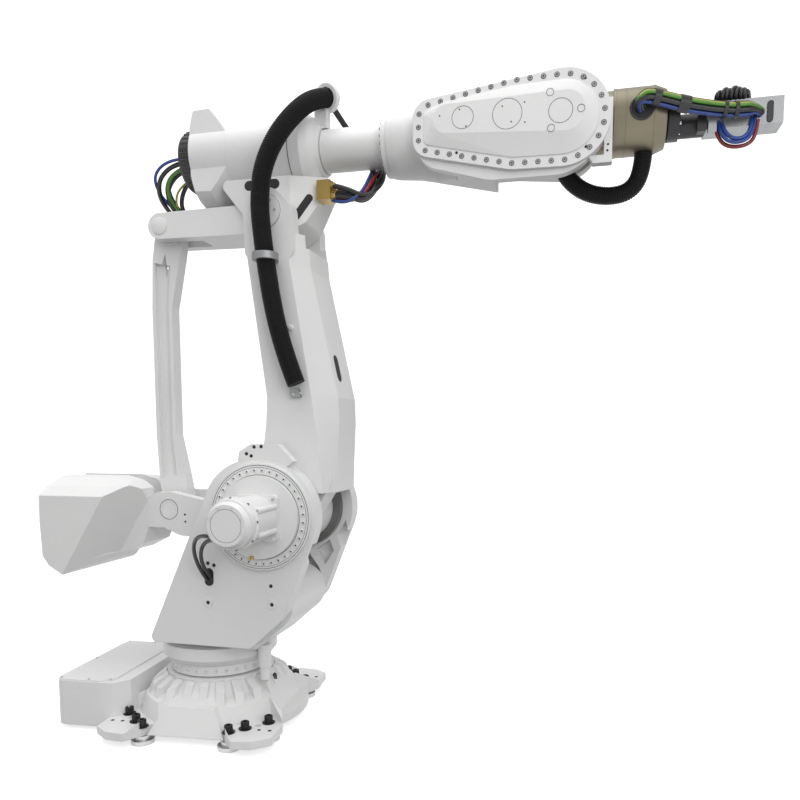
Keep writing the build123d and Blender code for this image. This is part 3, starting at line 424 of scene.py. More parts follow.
def ribbed_hose(name, node, points, radius, across):
    """A hose along the curve through its points, tied to no body. Its radius swings once for each rib:
    radius - depth * (1 - (0.5 + 0.5 * cos(2 pi * run / step)) ^ 0.6)."""
    line, length = even(spline(points), RIB_STEP / RIB_ROWS)
    along = np.linspace(0, length, len(line))
    swing = 0.5 + 0.5 * np.cos(2 * np.pi * along / RIB_STEP)
    ribs = radius - RIB_DEEP * (1 - swing ** 0.6)
    piece = surface(name, None, hose_rubber, tube(line, ribs, 40, across), smooth=60)
    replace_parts(piece, node)
    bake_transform(piece)


ribbed_hose("dress_hose_lower_run", "dress_hose_low", HOSE_LOW, HOSE_R,
            (0, 1, 0))
ribbed_hose("dress_hose_upper_run", "dress_hose_high", HOSE_HIGH, HOSE_R,
            (1, -0.3, 0))
ribbed_hose("wrist_hose_loop", "wrist_hose", WRIST_HOSE, WRIST_HOSE_R,
            (0, 1, 0))


# The dark and bright pieces: a moulded cap, the wrist housing in a warm metallic paint, blackened tool
# pieces, and the milled bracket, clamp and hose bracket.
moulded = Finish("moulded black", "black")
moulded.finish(base_color=moulded.blend(moulded.noise(6), (0.006, 0.006, 0.0065), (0.011, 0.011, 0.0115)),
               roughness=moulded.noise(140) * 0.15 + 0.38,
               normal=moulded.bumped(moulded.noise(900, 2), 0.0002, 0.002))
painted(moulded, "rear_cap")
champagne = Finish("champagne metallic", "wrist")
champagne.finish(base_color=champagne.blend(champagne.noise(5), (0.17, 0.15, 0.105), (0.22, 0.195, 0.14)),
                 metallic=0.6, roughness=champagne.noise(90) * 0.12 + 0.34,
                 normal=champagne.bumped(champagne.noise(700, 2), 0.0001, 0.003))
painted(champagne, "wrist_unit", "wrist_housing")
dark_metal = Finish("dark anodised", "black")
dark_metal.finish(base_color=(0.03, 0.03, 0.032, 1), metallic=0.7,
                  roughness=dark_metal.noise(120) * 0.15 + 0.35,
                  normal=dark_metal.bumped(dark_metal.noise(500), 0.0002, 0.002))
painted(dark_metal, "tool_flange", "tool_beam")
milled = machined("milled aluminium", "bracket", (0.34, 0.345, 0.35), (0.25, 0.255, 0.26), 0.42)
painted(milled, "tool_bracket", "hose_clamp", "hose_bracket")
brass = machined("turned brass", "brass", (0.42, 0.30, 0.10), (0.30, 0.21, 0.07), 0.32)
painted(brass, "connector_block")


# Cables: bundles of sheathed cables leave the cap at the rear, come out of the hose ring and dive
# behind the forearm to a brass connector block, and hang in a loop under the bracket. Each is soft
# plastic over copper strands, held at both ends, so it keeps to a loose bow.
def sheathed(name, colour):
    """Glossy plastic sheath of one colour, faintly uneven."""
    sheath = Finish(name, "rubber")
    deep = tuple(part * 0.6 for part in colour)
    return sheath.finish(base_color=sheath.blend(sheath.noise(60), deep, colour),
                         roughness=sheath.noise(150) * 0.15 + 0.3,
                         normal=sheath.bumped(sheath.noise(400), 0.0002))


SHEATH_COLOURS = {"black": (0.006, 0.006, 0.0065), "red": (0.30, 0.012, 0.022), "green": (0.09, 0.30, 0.02),
                  "yellow": (0.55, 0.50, 0.05), "blue": (0.02, 0.07, 0.34)}
sheaths = {name: sheathed(f"{name} sheath", colour) for name, colour in SHEATH_COLOURS.items()}


def cable(name, body, colour, points, radius):
    """One cable along the NURBS curve of its route's points, closed at its ends."""
    curve = nurbs(name, points, 8)
    curve.bevel_depth = radius
    curve.bevel_resolution = 3
    curve.use_fill_caps = True
    curve.materials.append(sheaths[colour].material)
    piece = bpy.data.objects.new(name, curve)
    bpy.context.scene.collection.objects.link(piece)
    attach(piece, body)
    _, length = even(spline(points), 0.01)
    return piece


CAP_REAR = -0.105
CABLE_LIFT = 0.0005
REAR_ROUTES = (
    ("black", 0.012, (-0.050, 3.110), (-0.200, -0.056, 3.100), (-0.300, -0.040, 3.010),
     (-0.310, 0.050, 2.905), (-0.228, 0.096, 2.829)),
    ("black", 0.012, (0.0, 3.090), (-0.180, -0.005, 3.080), (-0.270, 0.010, 2.990),
     (-0.270, 0.060, 2.900), (-0.190, 0.090, 2.829)),
    ("black", 0.012, (0.045, 3.070), (-0.150, 0.055, 3.055), (-0.215, 0.070, 2.970),
     (-0.220, 0.090, 2.890), (-0.150, 0.100, 2.829)),
    ("red", 0.010, (-0.020, 3.122), (-0.240, -0.020, 3.108), (-0.318, 0.0, 3.020),
     (-0.318, 0.070, 2.920), (-0.250, 0.112, 2.829)),
    ("green", 0.011, (0.010, 3.118), (-0.230, 0.020, 3.095), (-0.290, 0.030, 3.000),
     (-0.270, 0.085, 2.915), (-0.205, 0.112, 2.829)),
    ("green", 0.009, (-0.040, 3.085), (-0.190, -0.040, 3.070), (-0.262, -0.010, 2.990),
     (-0.255, 0.078, 2.905), (-0.172, 0.070, 2.829)),
    ("blue", 0.008, (-0.066, 3.122), (-0.215, -0.075, 3.122), (-0.322, -0.052, 3.035),
     (-0.300, 0.075, 2.925), (-0.170, 0.116, 2.829)),
    ("yellow", 0.006, (0.030, 3.050), (-0.160, 0.030, 3.035), (-0.235, 0.040, 2.970),
     (-0.240, 0.085, 2.880), (-0.232, 0.075, 2.829)),
    ("black", 0.009, (0.060, 3.128), (-0.235, 0.060, 3.120), (-0.305, 0.080, 3.050),
     (-0.285, 0.105, 2.950), (-0.185, 0.124, 2.829)),
)
for index, (colour, radius, leave, *rest) in enumerate(REAR_ROUTES):
    piece = cable(f"rear_cable_{index}", "upper_arm", colour,
                  ((CAP_REAR - CABLE_LIFT, *leave), *rest), radius)
    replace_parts(piece, "rear_cables")

BLOCK_FACE = 0.752
RING_FACE = 0.718
FRONT_ROUTES = (
    ("black", 0.012, (-0.120, 2.900), (0.830, -0.125, 2.880), (0.930, -0.110, 2.830),
     (0.992, -0.080, 2.880), (0.990, 0.040, 2.970), (0.960, 0.140, 3.070), (0.860, 0.165, 3.150),
     (0.770, 0.140, 3.255), (0.010, 3.350)),
    ("black", 0.012, (-0.095, 2.870), (0.830, -0.100, 2.850), (0.915, -0.090, 2.812),
     (0.970, -0.060, 2.870), (0.962, 0.050, 2.975), (0.925, 0.150, 3.090), (0.835, 0.168, 3.170),
     (0.760, 0.130, 3.262), (0.020, 3.335)),
    ("black", 0.012, (-0.070, 2.885), (0.820, -0.075, 2.875), (0.890, -0.070, 2.850),
     (0.940, -0.040, 2.895), (0.935, 0.060, 2.980), (0.895, 0.150, 3.110), (0.815, 0.165, 3.190),
     (0.750, 0.120, 3.280), (-0.010, 3.350)),
    ("black", 0.009, (-0.112, 2.850), (0.840, -0.118, 2.835), (0.945, -0.112, 2.812),
     (0.978, -0.070, 2.905), (0.975, 0.060, 3.000), (0.945, 0.160, 3.100), (0.850, 0.178, 3.180),
     (0.765, 0.140, 3.270), (0.030, 3.352)),
    ("red", 0.009, (-0.085, 2.845), (0.820, -0.092, 2.822), (0.900, -0.105, 2.830),
     (0.950, -0.080, 2.900), (0.955, 0.020, 2.985), (0.935, 0.150, 3.060), (0.860, 0.185, 3.140),
     (0.770, 0.158, 3.245), (0.035, 3.332)),
    ("blue", 0.008, (-0.105, 2.830), (0.810, -0.122, 2.806), (0.880, -0.124, 2.822),
     (0.925, -0.100, 2.880), (0.930, 0.0, 2.985), (0.905, 0.140, 3.060), (0.840, 0.190, 3.150),
     (0.765, 0.165, 3.240), (0.045, 3.345)),
    ("yellow", 0.007, (-0.060, 2.860), (0.800, -0.050, 2.850), (0.880, -0.040, 2.868),
     (0.915, -0.020, 2.910), (0.915, 0.060, 2.985), (0.880, 0.160, 3.080), (0.815, 0.188, 3.170),
     (0.755, 0.160, 3.262), (0.0, 3.368)),
)
for index, (colour, radius, leave, *rest, arrive) in enumerate(FRONT_ROUTES):
    piece = cable(f"front_cable_{index}", "upper_arm", colour,
                  ((BLOCK_FACE + CABLE_LIFT, *leave), *rest, (RING_FACE, *arrive)), radius)
    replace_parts(piece, "front_cables")

MOTOR_ROUTES = (
    ((0.330, -0.640, 1.130), (0.245, -0.600, 1.150), (0.140, -0.520, 1.090), (0.120, -0.450, 0.960),
     (0.119, -0.3485, 0.866)),
    ((0.335, -0.600, 1.110), (0.262, -0.560, 1.122), (0.166, -0.490, 1.060), (0.138, -0.430, 0.950),
     (0.140, -0.3485, 0.880)),
)
for index, points in enumerate(MOTOR_ROUTES):
    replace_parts(cable(f"motor_cable_{index}", "turret", "black", points, 0.010), "motor_cables")

LOOP_ROUTES = (
    ("red", 0.009, (2.590, -0.066, 3.045), (2.606, -0.072, 2.985), (2.640, -0.076, 2.942),
     (2.700, -0.076, 2.932), (2.752, -0.072, 2.950), (2.772, -0.066, 3.000), (2.776, -0.0615, 3.050)),
    ("blue", 0.009, (2.620, -0.0605, 3.060), (2.626, -0.088, 3.010), (2.660, -0.098, 2.965),
     (2.710, -0.098, 2.960), (2.745, -0.088, 3.000), (2.750, -0.0605, 3.060)),
    ("blue", 0.008, (2.604, -0.0605, 3.058), (2.612, -0.092, 3.000), (2.645, -0.100, 2.950),
     (2.706, -0.100, 2.943), (2.752, -0.092, 2.975), (2.764, -0.0605, 3.062)),
)
for index, (colour, radius, *points) in enumerate(LOOP_ROUTES):
    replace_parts(cable(f"tool_loop_{index}", "tool", colour, points, radius), "tool_loops")


# Drum: a ring of small bolts, half sunk, round the turning bearing's clamping ring.
DRUM_BOLTS = 32
DRUM_BOLT_R, DRUM_BOLT_Z = 0.2745, 0.336
socket_screw = lathe([(0, 0), (0, 0.0095), (0.0105, 0.0095), (0.0115, 0.0085), (0.0115, 0.005),
                      (0.005, 0.005), (0.005, 0)], 18, six=(4, 5))


def ring_of(count, radius, start=0.0):
    """Even points on a circle: radius * cos(t) and radius * sin(t)."""
    turn = start + np.arange(count) * 2 * np.pi / count
    return radius * np.cos(turn), radius * np.sin(turn)


outward = np.column_stack([*ring_of(DRUM_BOLTS, DRUM_BOLT_R), np.zeros(DRUM_BOLTS)])
surface("drum_bolts", "turret", white_paint, placed(socket_screw, outward + (0, 0, DRUM_BOLT_Z), outward))


# Cheeks and gearboxes: turned bosses with bores and screws on both cheeks, a ring of 36 screws in a
# groove of each gearbox, and the oval port through which the near motor's cables pass. The bores, the
# screws' sockets, the grooves and the port are dark discs, rings and a plate of painted shade.
SHOULDER = (0.437, 1.208)
CHEEK_Y, GEAR_Y, DISC_Y = 0.348, 0.373, 0.394
BOSSES = ((0.237, 1.315), (0.121, 0.742), (0.485, 0.750))
CHEEK_BORES = ((0.481, 0.848), (0.125, 0.954), (0.160, 0.944))
BRACKET_BORES = ((0.404, 1.566), (0.387, 1.520), (0.443, 1.568), (0.361, 1.531))
GEAR_SCREWS, GEAR_SCREW_R = 36, 0.240
GROOVES = ((0.266, 0.0030), (0.255, 0.0020), (0.2175, 0.0030))
GROOVE_HIGH = 0.0004
CABLE_PORT = (0.130, -CHEEK_Y, 0.880)
PLUG = (0.400, 1.001)


def on_side(points, depth, sides=(-1, 1)):
    """Points (x, z) on both sides of the machine, at that distance from its middle plane, and their
    outward directions."""
    places = np.array([(x, side * depth, z) for side in sides for x, z in points])
    return places, np.sign(places) * (0, 1, 0)


def disc(radius, height=0.0008, around=24):
    """A thin round plate."""
    return lathe([(0, 0), (0, radius), (height, radius), (height, 0)], around)


def slab(rim, low, high):
    """A plate with a rim of points (a, b), between two heights."""
    rim = np.array(rim, float)
    middle = rim * 0 + rim.mean(0)
    rows = ((middle, low), (rim, low), (rim, high), (middle, high))
    return np.stack([np.column_stack([points, np.full(len(rim), height)]) for points, height in rows])


def pill(half_a, half_b, corner, lean=0.0, around=40):
    """The rim of a rectangle with round corners, turned by an angle. Before the turn each
    coordinate is (half - corner) * sign(cos(t)) + corner * cos(t), or the same with sin(t)."""
    turn = np.linspace(0, 2 * np.pi, around, endpoint=False) + np.pi / around
    a = (half_a - corner) * np.sign(np.cos(turn)) + corner * np.cos(turn)
    b = (half_b - corner) * np.sign(np.sin(turn)) + corner * np.sin(turn)
    return np.column_stack([a * math.cos(lean) - b * math.sin(lean), a * math.sin(lean) + b * math.cos(lean)])


def ring(inner, outer, height, around=64):
    """A thin ring with a square section, closed on itself."""
    return lathe([(0, inner), (0, outer), (height, outer), (height, inner), (0, inner)], around)


def round_shoulder(count, radius, start):
    """Points (x, z) evenly round the shoulder axis."""
    across, upward = ring_of(count, radius, start)
    return np.column_stack([SHOULDER[0] + across, SHOULDER[1] + upward])


boss = lathe([(-0.001, 0), (-0.001, 0.026), (0.003, 0.026), (0.004, 0.0248), (0.004, 0.011), (0.0005, 0.011),
              (0.0005, 0)], 32)
surface("cheek_bosses", "turret", white_paint, placed(boss, *on_side(BOSSES, CHEEK_Y)))
# Painted shade: dark discs over the bores of the bosses, the cheeks and the bracket.
surface("cheek_bores", "turret", painted_hole_shade,
        placed(disc(0.0095, 0.0011), *on_side(BOSSES, CHEEK_Y)),
        placed(disc(0.010), *on_side(CHEEK_BORES, CHEEK_Y)),
        placed(disc(0.009), *on_side(BRACKET_BORES, CHEEK_Y, (-1,))))
gear_screws = on_side(round_shoulder(GEAR_SCREWS, GEAR_SCREW_R, math.pi / GEAR_SCREWS), GEAR_Y)
surface("gearbox_screws", "turret", white_paint, placed(socket_screw * (0.9, 0.9, 0.5), *gear_screws))
# Painted shade: a dark disc in each screw's socket.
surface("gearbox_sockets", "turret", painted_hole_shade, placed(disc(0.0038, 0.0050), *gear_screws))
# Painted shade: a dark grey for thin rings and discs along grooves, seams, recesses and counterbores, in
# place of the shade that falls in them.
painted_shadow_line = Finish("shadow line", "black")
painted_shadow_line.finish(base_color=(0.10, 0.10, 0.10, 1), roughness=painted_shadow_line.noise(60) * 0.1 + 0.7)
# Painted shade: dark rings along the gearbox grooves.
surface("gearbox_grooves", "turret", painted_shadow_line,
        *[placed(ring(radius - width / 2, radius + width / 2, GROOVE_HIGH), *on_side([SHOULDER], GEAR_Y))
          for radius, width in GROOVES])
# Painted shade: a dark plate over the cable port's opening.
surface("cable_port", "turret", painted_hole_shade,
        placed(slab(pill(0.026, 0.048, 0.026), 0, 0.001), CABLE_PORT, (0, -1, 0)))
surface("oil_plugs", "turret", brass, placed(socket_screw * (1.2, 1.2, 0.8), *on_side([PLUG], DISC_Y)))


# Shoulder motors: a round body between four tie ribs, screws at their ends, and a cap with a raised
# rim and a ring of small screws.
MOTOR_Y, MOTOR_CAP_Y = 0.418, 0.728
LIP_Y, LIP_FACE_Y = 0.640, 0.6505
TIES = np.radians((30, 150, 210, 330))
TIE_R, TIE_LONG, TIE_TIP = 0.119, 0.190, 0.004
CORNER_SCREW_R, LIP_SCREW_R, CAP_SCREW_R = 0.138, 0.1225, 0.088
CAP_GROOVE = (0.077, 0.0788)

tie_ends = np.column_stack([SHOULDER[0] + TIE_R * np.cos(TIES), SHOULDER[1] + TIE_R * np.sin(TIES)])
tie = lathe([(0, 0), (0, 0.015), (TIE_LONG, 0.015), (TIE_LONG + TIE_TIP, 0.013), (TIE_LONG + TIE_TIP, 0)], 20)
surface("motor_ties", "turret", white_paint, placed(tie, *on_side(tie_ends, MOTOR_Y)))
surface("motor_screws", "turret", bare_steel,
        placed(socket_screw * (0.7, 0.7, 0.6), *on_side(tie_ends, MOTOR_Y + TIE_LONG + TIE_TIP)),
        placed(socket_screw * (0.9, 0.9, 0.8),
               *on_side(round_shoulder(4, CORNER_SCREW_R, math.pi / 4), MOTOR_Y)))
motor_lip = lathe([(0, 0.110), (0, 0.130), (0.010, 0.130), (0.016, 0.118), (0, 0.110)], 64)
surface("motor_lips", "turret", white_paint, placed(motor_lip, *on_side([SHOULDER], LIP_Y)))
surface("lip_screws", "turret", black_screws,
        placed(small_screw, *on_side(round_shoulder(8, LIP_SCREW_R, 0.1), LIP_FACE_Y)))
surface("cap_screws", "turret", bare_steel,
        placed(small_screw, *on_side(round_shoulder(8, CAP_SCREW_R, math.pi / 8), MOTOR_CAP_Y)))
# Painted shade: a dark ring along the motor cap's groove.
surface("cap_grooves", "turret", painted_shadow_line,
        placed(ring(*CAP_GROOVE, GROOVE_HIGH), *on_side([SHOULDER], MOTOR_CAP_Y)))


# Lower arm: a lens-shaped slot in its front face, the screws of the hose bracket and a small knob.
# The covers over the elbow bearings have a seam and four screws, and the saddle a slanted slot. The
# slots, seams, holes, recess and dimples are dark plates, rings and discs of painted shade.
ARM_Y, CAP_OUT, SADDLE_Y, LINK_Y, HOSE_FOOT_Y = 0.244, 0.256, 0.150, 0.132, 0.268
ELBOW, LINK_END, LEVER_END = (0.437, 2.758), (-0.231, 2.758), (-0.231, 1.208)
LENS_AT, LENS_FACING = (0.7525, -0.050, 1.980), (1, 0, 0.2155)
KNOB_AT = (0.572, -ARM_Y, 2.172)
SADDLE_HOLE = (0.384, 2.920)
SLANT_AT, SLANT_FACING, SLANT_LEAN = (0.597, -0.1236, 2.801), (0.403, -0.915, 0), -0.62
ELBOW_SCREWS = ((0.477, 2.803), (0.473, 2.712), (0.500, 2.757), (0.382, 2.722))
HOSE_FOOT_SCREWS = ((0.590, 1.835), (0.629, 1.842))
LEVER_DIMPLES = ((-0.131, 1.181), (-0.130, 1.141))

# Painted shade: a dark plate over the lens-shaped slot.
surface("lens_slot", "lower_arm", painted_hole_shade,
        placed(slab(pill(0.032, 0.0725, 0.032), -0.001, 0.001), LENS_AT, LENS_FACING))
surface("bracket_screws", "lower_arm", bare_steel,
        placed(small_screw, *on_side(HOSE_FOOT_SCREWS, HOSE_FOOT_Y, (-1,))))
knob = lathe([(0, 0), (0, 0.014), (0.008, 0.014), (0.012, 0.010), (0.012, 0)])
surface("side_knob", "lower_arm", white_paint, placed(knob, KNOB_AT, (0, -1, 0)))
surface("elbow_screws", "lower_arm", bare_steel, placed(small_screw, *on_side(ELBOW_SCREWS, CAP_OUT)))
# Painted shade: a dark ring along the elbow cover's seam.
surface("elbow_seams", "lower_arm", painted_shadow_line, placed(ring(0.0865, 0.0885, 0.0006), *on_side([ELBOW], ARM_Y)))
# Painted shade: dark plates over the saddle's holes and slanted slot.
surface("saddle_holes", "upper_arm", painted_hole_shade,
        placed(slab(pill(0.098, 0.025, 0.025), -0.001, 0.0008), *on_side([SADDLE_HOLE], SADDLE_Y)),
        placed(slab(pill(0.019, 0.078, 0.019, SLANT_LEAN), -0.001, 0.001), SLANT_AT, SLANT_FACING))
link_cover = lathe([(0, 0), (0, 0.046), (0.003, 0.046), (0.004, 0.044), (0.004, 0)], 40)
surface("link_cover", "upper_arm", white_paint, placed(link_cover, *on_side([LINK_END], LINK_Y)))
# Painted shade: a dark ring in the lever's recess and dark discs in its dimples.
surface("lever_recess", "lever", painted_shadow_line,
        placed(ring(0.0545, 0.0575, 0.0006), *on_side([LEVER_END], LINK_Y)))
surface("lever_dimples", "lever", painted_hole_shade, placed(disc(0.006), *on_side(LEVER_DIMPLES, LINK_Y, (-1,))))


# Roll axis: the cap at the rear is fluted, brass unions hold the cables in their block, a seam runs
# round the front of the tube as a dark ring of painted shade, and 24 screws hold the forearm's flange.
ROLL_Z = 3.113
FLUTES_FROM, FLUTES_TO, FLUTES = -0.078, -0.018, 30
COLLAR_AT, COLLAR_ALONG = (0.704, -0.050, 3.362), (24, 76, 26)
SEAM_X, FLANGE_X = 0.538, 1.022
FLANGE_SCREWS, FLANGE_SCREW_R = 24, 0.134


def fluted(low, high, inner, outer, teeth):
    """A ring whose rim steps between two radii, three of each six points on the outer one:
    (radius * cos(t), radius * sin(t), height)."""
    turn = np.linspace(0, 2 * np.pi, teeth * 6, endpoint=False)
    rim = np.where(np.arange(len(turn)) % 6 < 3, outer, inner)
    bore = 0 * rim + inner * 0.9
    return np.stack([np.column_stack([reach * np.cos(turn), reach * np.sin(turn), 0 * turn + height])
                     for height, reach in ((low, bore), (low, rim), (high, rim), (high, bore))])


def round_roll_axis(count, radius, x):
    """Points (x, y, z) evenly round the roll axis."""
    across, upward = ring_of(count, radius)
    return np.column_stack([np.full(count, x), across, ROLL_Z + upward])


surface("cap_flutes", "upper_arm", moulded,
        placed(fluted(FLUTES_FROM, FLUTES_TO, 0.1575, 0.162, FLUTES), (0, 0, ROLL_Z), (1, 0, 0)))
collar = lathe([(0, 0.0485), (0, 0.066), (0.003, 0.070), (0.027, 0.070), (0.030, 0.066), (0.030, 0.0485),
                (0, 0.0485)], 64)
surface("hose_collar", "upper_arm", white_paint, placed(collar, COLLAR_AT, COLLAR_ALONG))
union = lathe([(0, 0), (0, 0.0165), (0.012, 0.0165), (0.013, 0.0135), (0.022, 0.0125), (0.022, 0)], 24,
              six=(1, 2))
surface("cable_unions", "upper_arm", brass,
        placed(union, [(BLOCK_FACE, *leave) for _, _, leave, *_ in FRONT_ROUTES[:4]], (1, 0, 0)))
# Painted shade: a dark ring along the tube's seam.
surface("tube_seam", "upper_arm", painted_shadow_line,
        placed(ring(0.180, 0.1882, 0.004, 96), (SEAM_X, 0, ROLL_Z), (1, 0, 0)))
surface("flange_screws", "forearm", milled,
        placed(socket_screw * 0.8, round_roll_axis(FLANGE_SCREWS, FLANGE_SCREW_R, FLANGE_X), (-1, 0, 0)))


# Wrist covers: each is a cast lid with a raised middle, held by a rim of screws sunk in bores whose shade
# is painted as dark discs. The rim follows a belt round the cover's circles. The screws' sockets, the pin
# holes, dots, circles and dimples, and the step's screws are dark marks of painted shade too.
WRIST = np.array((1.904, 3.113))
NEAR_BELT = ((-0.614, -0.073, 0.084), (-0.204, -0.033, 0.213), (0.008, -0.033, 0.217), (-0.614, 0.027, 0.084))
FAR_BELT = ((-0.574, 0, 0.118), (0.008, 0, 0.175))
NEAR_RISE = ((-0.529, 0.002, 0.071), (0.021, -0.013, 0.095))
FAR_RISE = ((-0.529, 0, 0.060), (0.008, 0, 0.090))
COVER_Y, RISE_Y = 0.219, 0.243
COVER_CIRCLES = ((1.452, 3.113, 0.051), (1.661, 3.109, 0.068), (1.904, 3.100, 0.054))
COVER_DIMPLES = ((1.855, 3.184), (1.995, 3.101), (1.862, 3.027))
COVER_DOTS = ((1.437, 3.150), (1.468, 3.072), (1.638, 3.144), (1.680, 3.072), (1.740, 3.152), (1.743, 3.064),
              (1.342, 3.130))
COVER_PINS = ((1.420, 2.965), (2.020, 2.940), (2.010, 3.240))
COVER_BOLTS = ((1.993, 2.979), (1.408, 3.186))
STEP_PLATE = ((2.100, 2.9065), (2.137, 2.9065), (2.137, 3.157), (2.100, 3.157))
STEP_FOOT = ((2.051, 2.871), (2.137, 2.871), (2.137, 2.906), (2.030, 2.906))
STEP_IN, STEP_Y, STEP_FOOT_Y = 0.1545, 0.196, 0.199
STEP_SCREWS = ((2.118, 2.951), (2.116, 2.924))
RIM_INSET, RIM_START = 0.028, 3.2


def belted(circles, inset, turn):
    """Points of the belt round circles, inset: at each outward angle, the circle that reaches farthest
    gives centre + (radius - inset) * direction."""
    circles = np.array(circles)
    out = np.stack([np.cos(turn), np.sin(turn)], -1)
    far = (out @ circles[:, :2].T + circles[:, 2]).argmax(1)
    return WRIST + circles[far, :2] + (circles[far, 2:] - inset) * out


def along_belt(circles, inset, count, start):
    """Evenly spaced points along a belt, from an outward angle on."""
    points = belted(circles, inset, start + np.linspace(0, 2 * np.pi, 1441))
    run = np.concatenate([[0], np.cumsum(np.linalg.norm(np.diff(points, axis=0), axis=1))])
    at = np.arange(count) * run[-1] / count
    return np.stack([np.interp(at, run, points[:, axis]) for axis in (0, 1)], -1)


def raised_cover(circles, rise, side):
    """The sloping middle of a cover, from the belt's inset up to the belt of the raised face."""
    turn = np.linspace(0, 2 * np.pi, 120, endpoint=False)
    rows = []
    for belt, inset, depth in ((circles, 0.050, COVER_Y - 0.002), (circles, 0.054, COVER_Y + 0.004),
                               (rise, -0.006, RISE_Y - 0.003), (rise, 0.006, RISE_Y)):
        x, z = belted(belt, inset, turn).T
        rows.append(np.column_stack([x, np.full(len(turn), side * depth), z]))
    rows.append(rows[-1] * 0 + rows[-1].mean(0))
    return np.stack(rows)


surface("raised_covers", "forearm", white_paint, raised_cover(NEAR_BELT, NEAR_RISE, -1),
        raised_cover(FAR_BELT, FAR_RISE, 1), smooth=12)
rims = (on_side(along_belt(NEAR_BELT, RIM_INSET, 35, RIM_START), COVER_Y, (-1,)),
        on_side(along_belt(FAR_BELT, RIM_INSET, 30, RIM_START), COVER_Y, (1,)))
bolt_places = on_side(COVER_BOLTS, COVER_Y + 0.004, (-1,))
bolt_bore, bolt_socket = disc(0.0125, 0.0012), disc(0.0036, 0.0036)
bolt_head = lathe([(0, 0), (0, 0.0095), (0.0022, 0.0095), (0.003, 0.0085), (0.003, 0)], 20)
# Painted shade: dark discs round the screws, for the shade in their bores.
surface("cover_bores", "forearm", painted_shadow_line, *[placed(bolt_bore, *rim) for rim in rims])
surface("cover_screws", "forearm", milled, *[placed(bolt_head, *rim) for rim in rims],
        placed(bolt_head * (1.4, 1.4, 1.8), *bolt_places))
# Painted shade: dark discs in the screws' sockets, the pin holes and the dots.
surface("cover_sockets", "forearm", painted_hole_shade, *[placed(bolt_socket, *rim) for rim in rims],
        placed(bolt_socket * (1, 1, 1.7), *bolt_places),
        placed(disc(0.0065, 0.0016), *on_side(COVER_PINS, COVER_Y, (-1,))),
        placed(disc(0.0035), *on_side(COVER_DOTS, RISE_Y, (-1,))))
# Painted shade: dark rings along the raised circles and round the dimples.
surface("cover_circles", "forearm", painted_shadow_line,
        *[placed(ring(radius - 0.0012, radius + 0.0012, 0.0005), *on_side([(x, z)], RISE_Y, (-1,)))
          for x, z, radius in COVER_CIRCLES],
        placed(ring(0.0155, 0.0175, 0.0012, 24), *on_side(COVER_DIMPLES, RISE_Y, (-1,))))
surface("fork_steps", "forearm", white_paint,
        placed(slab(STEP_PLATE, STEP_IN, STEP_Y), (0, 0, 0), (0, -1, 0)),
        placed(slab(STEP_FOOT, STEP_IN, STEP_FOOT_Y), (0, 0, 0), (0, -1, 0)))
# Painted shade: dark discs for the step's screws.
surface("step_screws", "forearm", painted_hole_shade, placed(disc(0.005), *on_side(STEP_SCREWS, STEP_Y, (-1,))))


# Wrist housing and tool: bands round the housing, a black port on its near side whose opening is a disc
# of painted shade, and a strapped bundle of cables from the port along the tool to its bracket, where
# more of them are heaped.
HOUSING_R, BAND_R = 0.148, 0.1495
BANDS = ((2.142, 0.012), (2.196, 0.004), (2.322, 0.010))
PORT = (2.268, 3.120)
TOOL_SCREWS, TOOL_SCREW_R, TOOL_FACE_X = 10, 0.082, 2.440
BUNDLE = ((2.262, -0.1505, 3.112), (2.246, -0.190, 3.124), (2.276, -0.188, 3.150), (2.340, -0.170, 3.140),
          (2.450, -0.146, 3.112), (2.560, -0.124, 3.094), (2.650, -0.112, 3.082), (2.720, -0.104, 3.084),
          (2.762, -0.092, 3.086), (2.784, -0.0605, 3.082))
STRANDS = (
    ("black", 0.0105, 0.004, 0.024), ("black", 0.0105, -0.016, 0.014), ("black", 0.011, -0.018, -0.016),
    ("black", 0.0105, 0.021, -0.011), ("green", 0.0085, 0.024, 0.009), ("yellow", 0.0070, 0.016, 0.018),
    ("blue", 0.0095, 0.003, -0.025), ("green", 0.0085, -0.024, 0.001), ("black", 0.010, 0.001, 0.000),
)
STRAP_R = 0.0365
HEAP_CABLE_R, BRACKET_TOP = 0.011, 3.1485
HEAP = ((2.600, 0.040, 3.190), (2.622, 0.062, 3.202), (2.640, 0.048, 3.196), (2.660, 0.070, 3.206),
        (2.680, 0.052, 3.198), (2.700, 0.058, 3.192), (2.715, 0.040, 3.182))
SLOT_AT, GREY_PLUG_AT, DARK_PLUG_AT = (2.827, -0.060, 3.082), (2.580, -0.060, 3.041), (2.535, -0.048, 3.048)


def on_housing(profile, around=48):
    """Circles (height, radius) about the port, laid on the round housing: y = -sqrt(R^2 - z^2) - height."""
    height, radius = np.array(profile).T
    turn = np.linspace(0, 2 * np.pi, around, endpoint=False)
    x = PORT[0] + radius[:, None] * np.cos(turn)
    z = PORT[1] + radius[:, None] * np.sin(turn)
    return np.stack([x, -np.sqrt(HOUSING_R ** 2 - (z - ROLL_Z) ** 2) - height[:, None], z], -1)


def beside(line, aside, above):
    """A line beside another: point + (aside * side + above * up) * closing, where the closing is 0.55
    at both ends and grows to 1 over an eighth of the length."""
    along = np.gradient(line, axis=0)
    along /= np.linalg.norm(along, axis=1, keepdims=True)
    side = np.cross(along, (0, 0, 1.0))
    side /= np.linalg.norm(side, axis=1, keepdims=True)
    up = np.cross(side, along)
    share = np.linspace(0, 1, len(line))[:, None]
    return line + (aside * side + above * up) * np.clip(np.minimum(share, 1 - share) * 8, 0.55, 1)


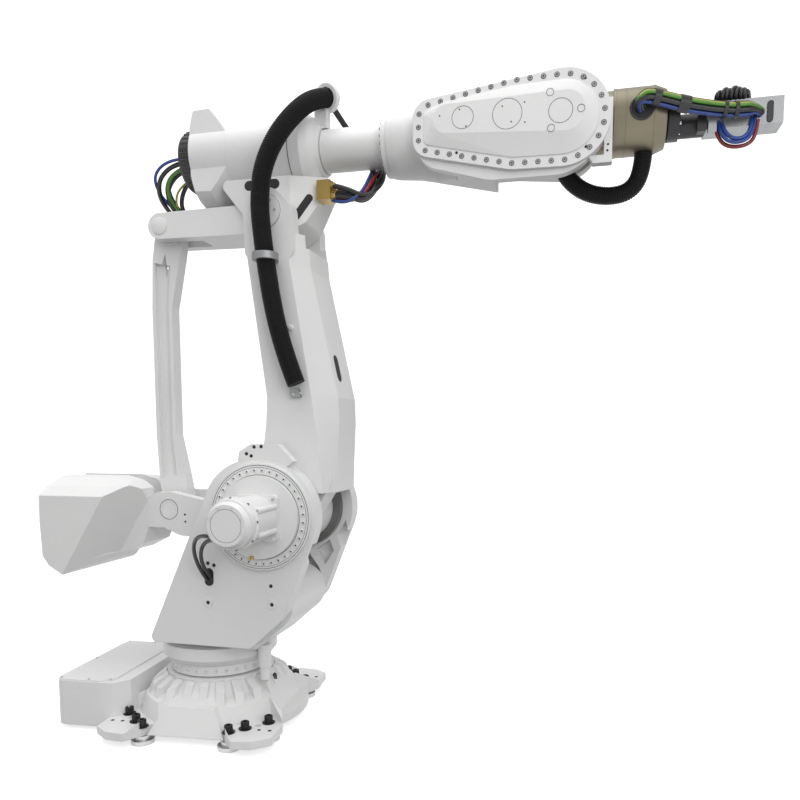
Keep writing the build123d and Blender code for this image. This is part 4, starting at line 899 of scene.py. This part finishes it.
def strap(index, body, share, width):
    """A band round the bundle at a share of its length, so many points wide each way."""
    middle = int(share * (len(bundle_line) - 1))
    line = bundle_line[middle - width:middle + width + 1]
    return surface(f"bundle_strap_{index}", body, moulded, tube(line, STRAP_R, 24, (0, 0, 1)))


surface("housing_bands", "wrist", champagne,
        *[placed(ring(0.140, BAND_R, width, 96), (x, 0, ROLL_Z), (1, 0, 0)) for x, width in BANDS])
surface("port_ring", "wrist", moulded,
        on_housing([(-0.004, 0.047), (-0.004, 0.057), (0.003, 0.057), (0.004, 0.055), (0.004, 0.049),
                    (0.003, 0.047), (-0.004, 0.047)]))
# Painted shade: a dark disc inside the port's ring.
surface("port_dark", "wrist", painted_hole_shade,
        on_housing([(-0.003, 0), (-0.003, 0.048), (0.0008, 0.048), (0.0008, 0.03), (0.0008, 0)]))
surface("tool_screws", "tool", bare_steel,
        placed(socket_screw * 0.7, round_roll_axis(TOOL_SCREWS, TOOL_SCREW_R, TOOL_FACE_X), (1, 0, 0)))
bundle_line, bundle_long = even(spline(BUNDLE), 0.008)
for index, (colour, radius, aside, above) in enumerate(STRANDS):
    line = beside(bundle_line, aside, above)
    piece = surface(f"bundle_strand_{index}", None, sheaths[colour], tube(line, radius, 14, (0, 0, 1)),
                    smooth=60)
    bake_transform(piece)
strap(0, "wrist", 0.20, 2)
strap(1, "tool", 0.72, 1)
strap(2, "tool", 0.79, 1)
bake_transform(strap(3, None, 0.42, 3))
for index, (x, reach, peak) in enumerate(HEAP):
    points = ((x, -0.048, BRACKET_TOP), (x - 0.006, -0.072, BRACKET_TOP + 0.020), (x + 0.014, -0.058, peak),
              (x + 0.010 + reach / 2, 0, peak), (x + reach, 0.040, peak - 0.010),
              (x + reach, 0.048, BRACKET_TOP))
    cable(f"heap_cable_{index}", "tool", "black", points, HEAP_CABLE_R)
surface("bracket_slot", "tool", moulded,
        placed(slab(pill(0.013, 0.046, 0.012), 0, 0.006), SLOT_AT, (0, -1, 0)))
surface("grey_plug", "tool", milled,
        placed(slab(pill(0.018, 0.036, 0.004), 0, 0.030), GREY_PLUG_AT, (0, -1, 0)))
surface("dark_plug", "tool", moulded,
        placed(slab(pill(0.020, 0.036, 0.006), 0, 0.040), DARK_PLUG_AT, (0, -1, 0)))
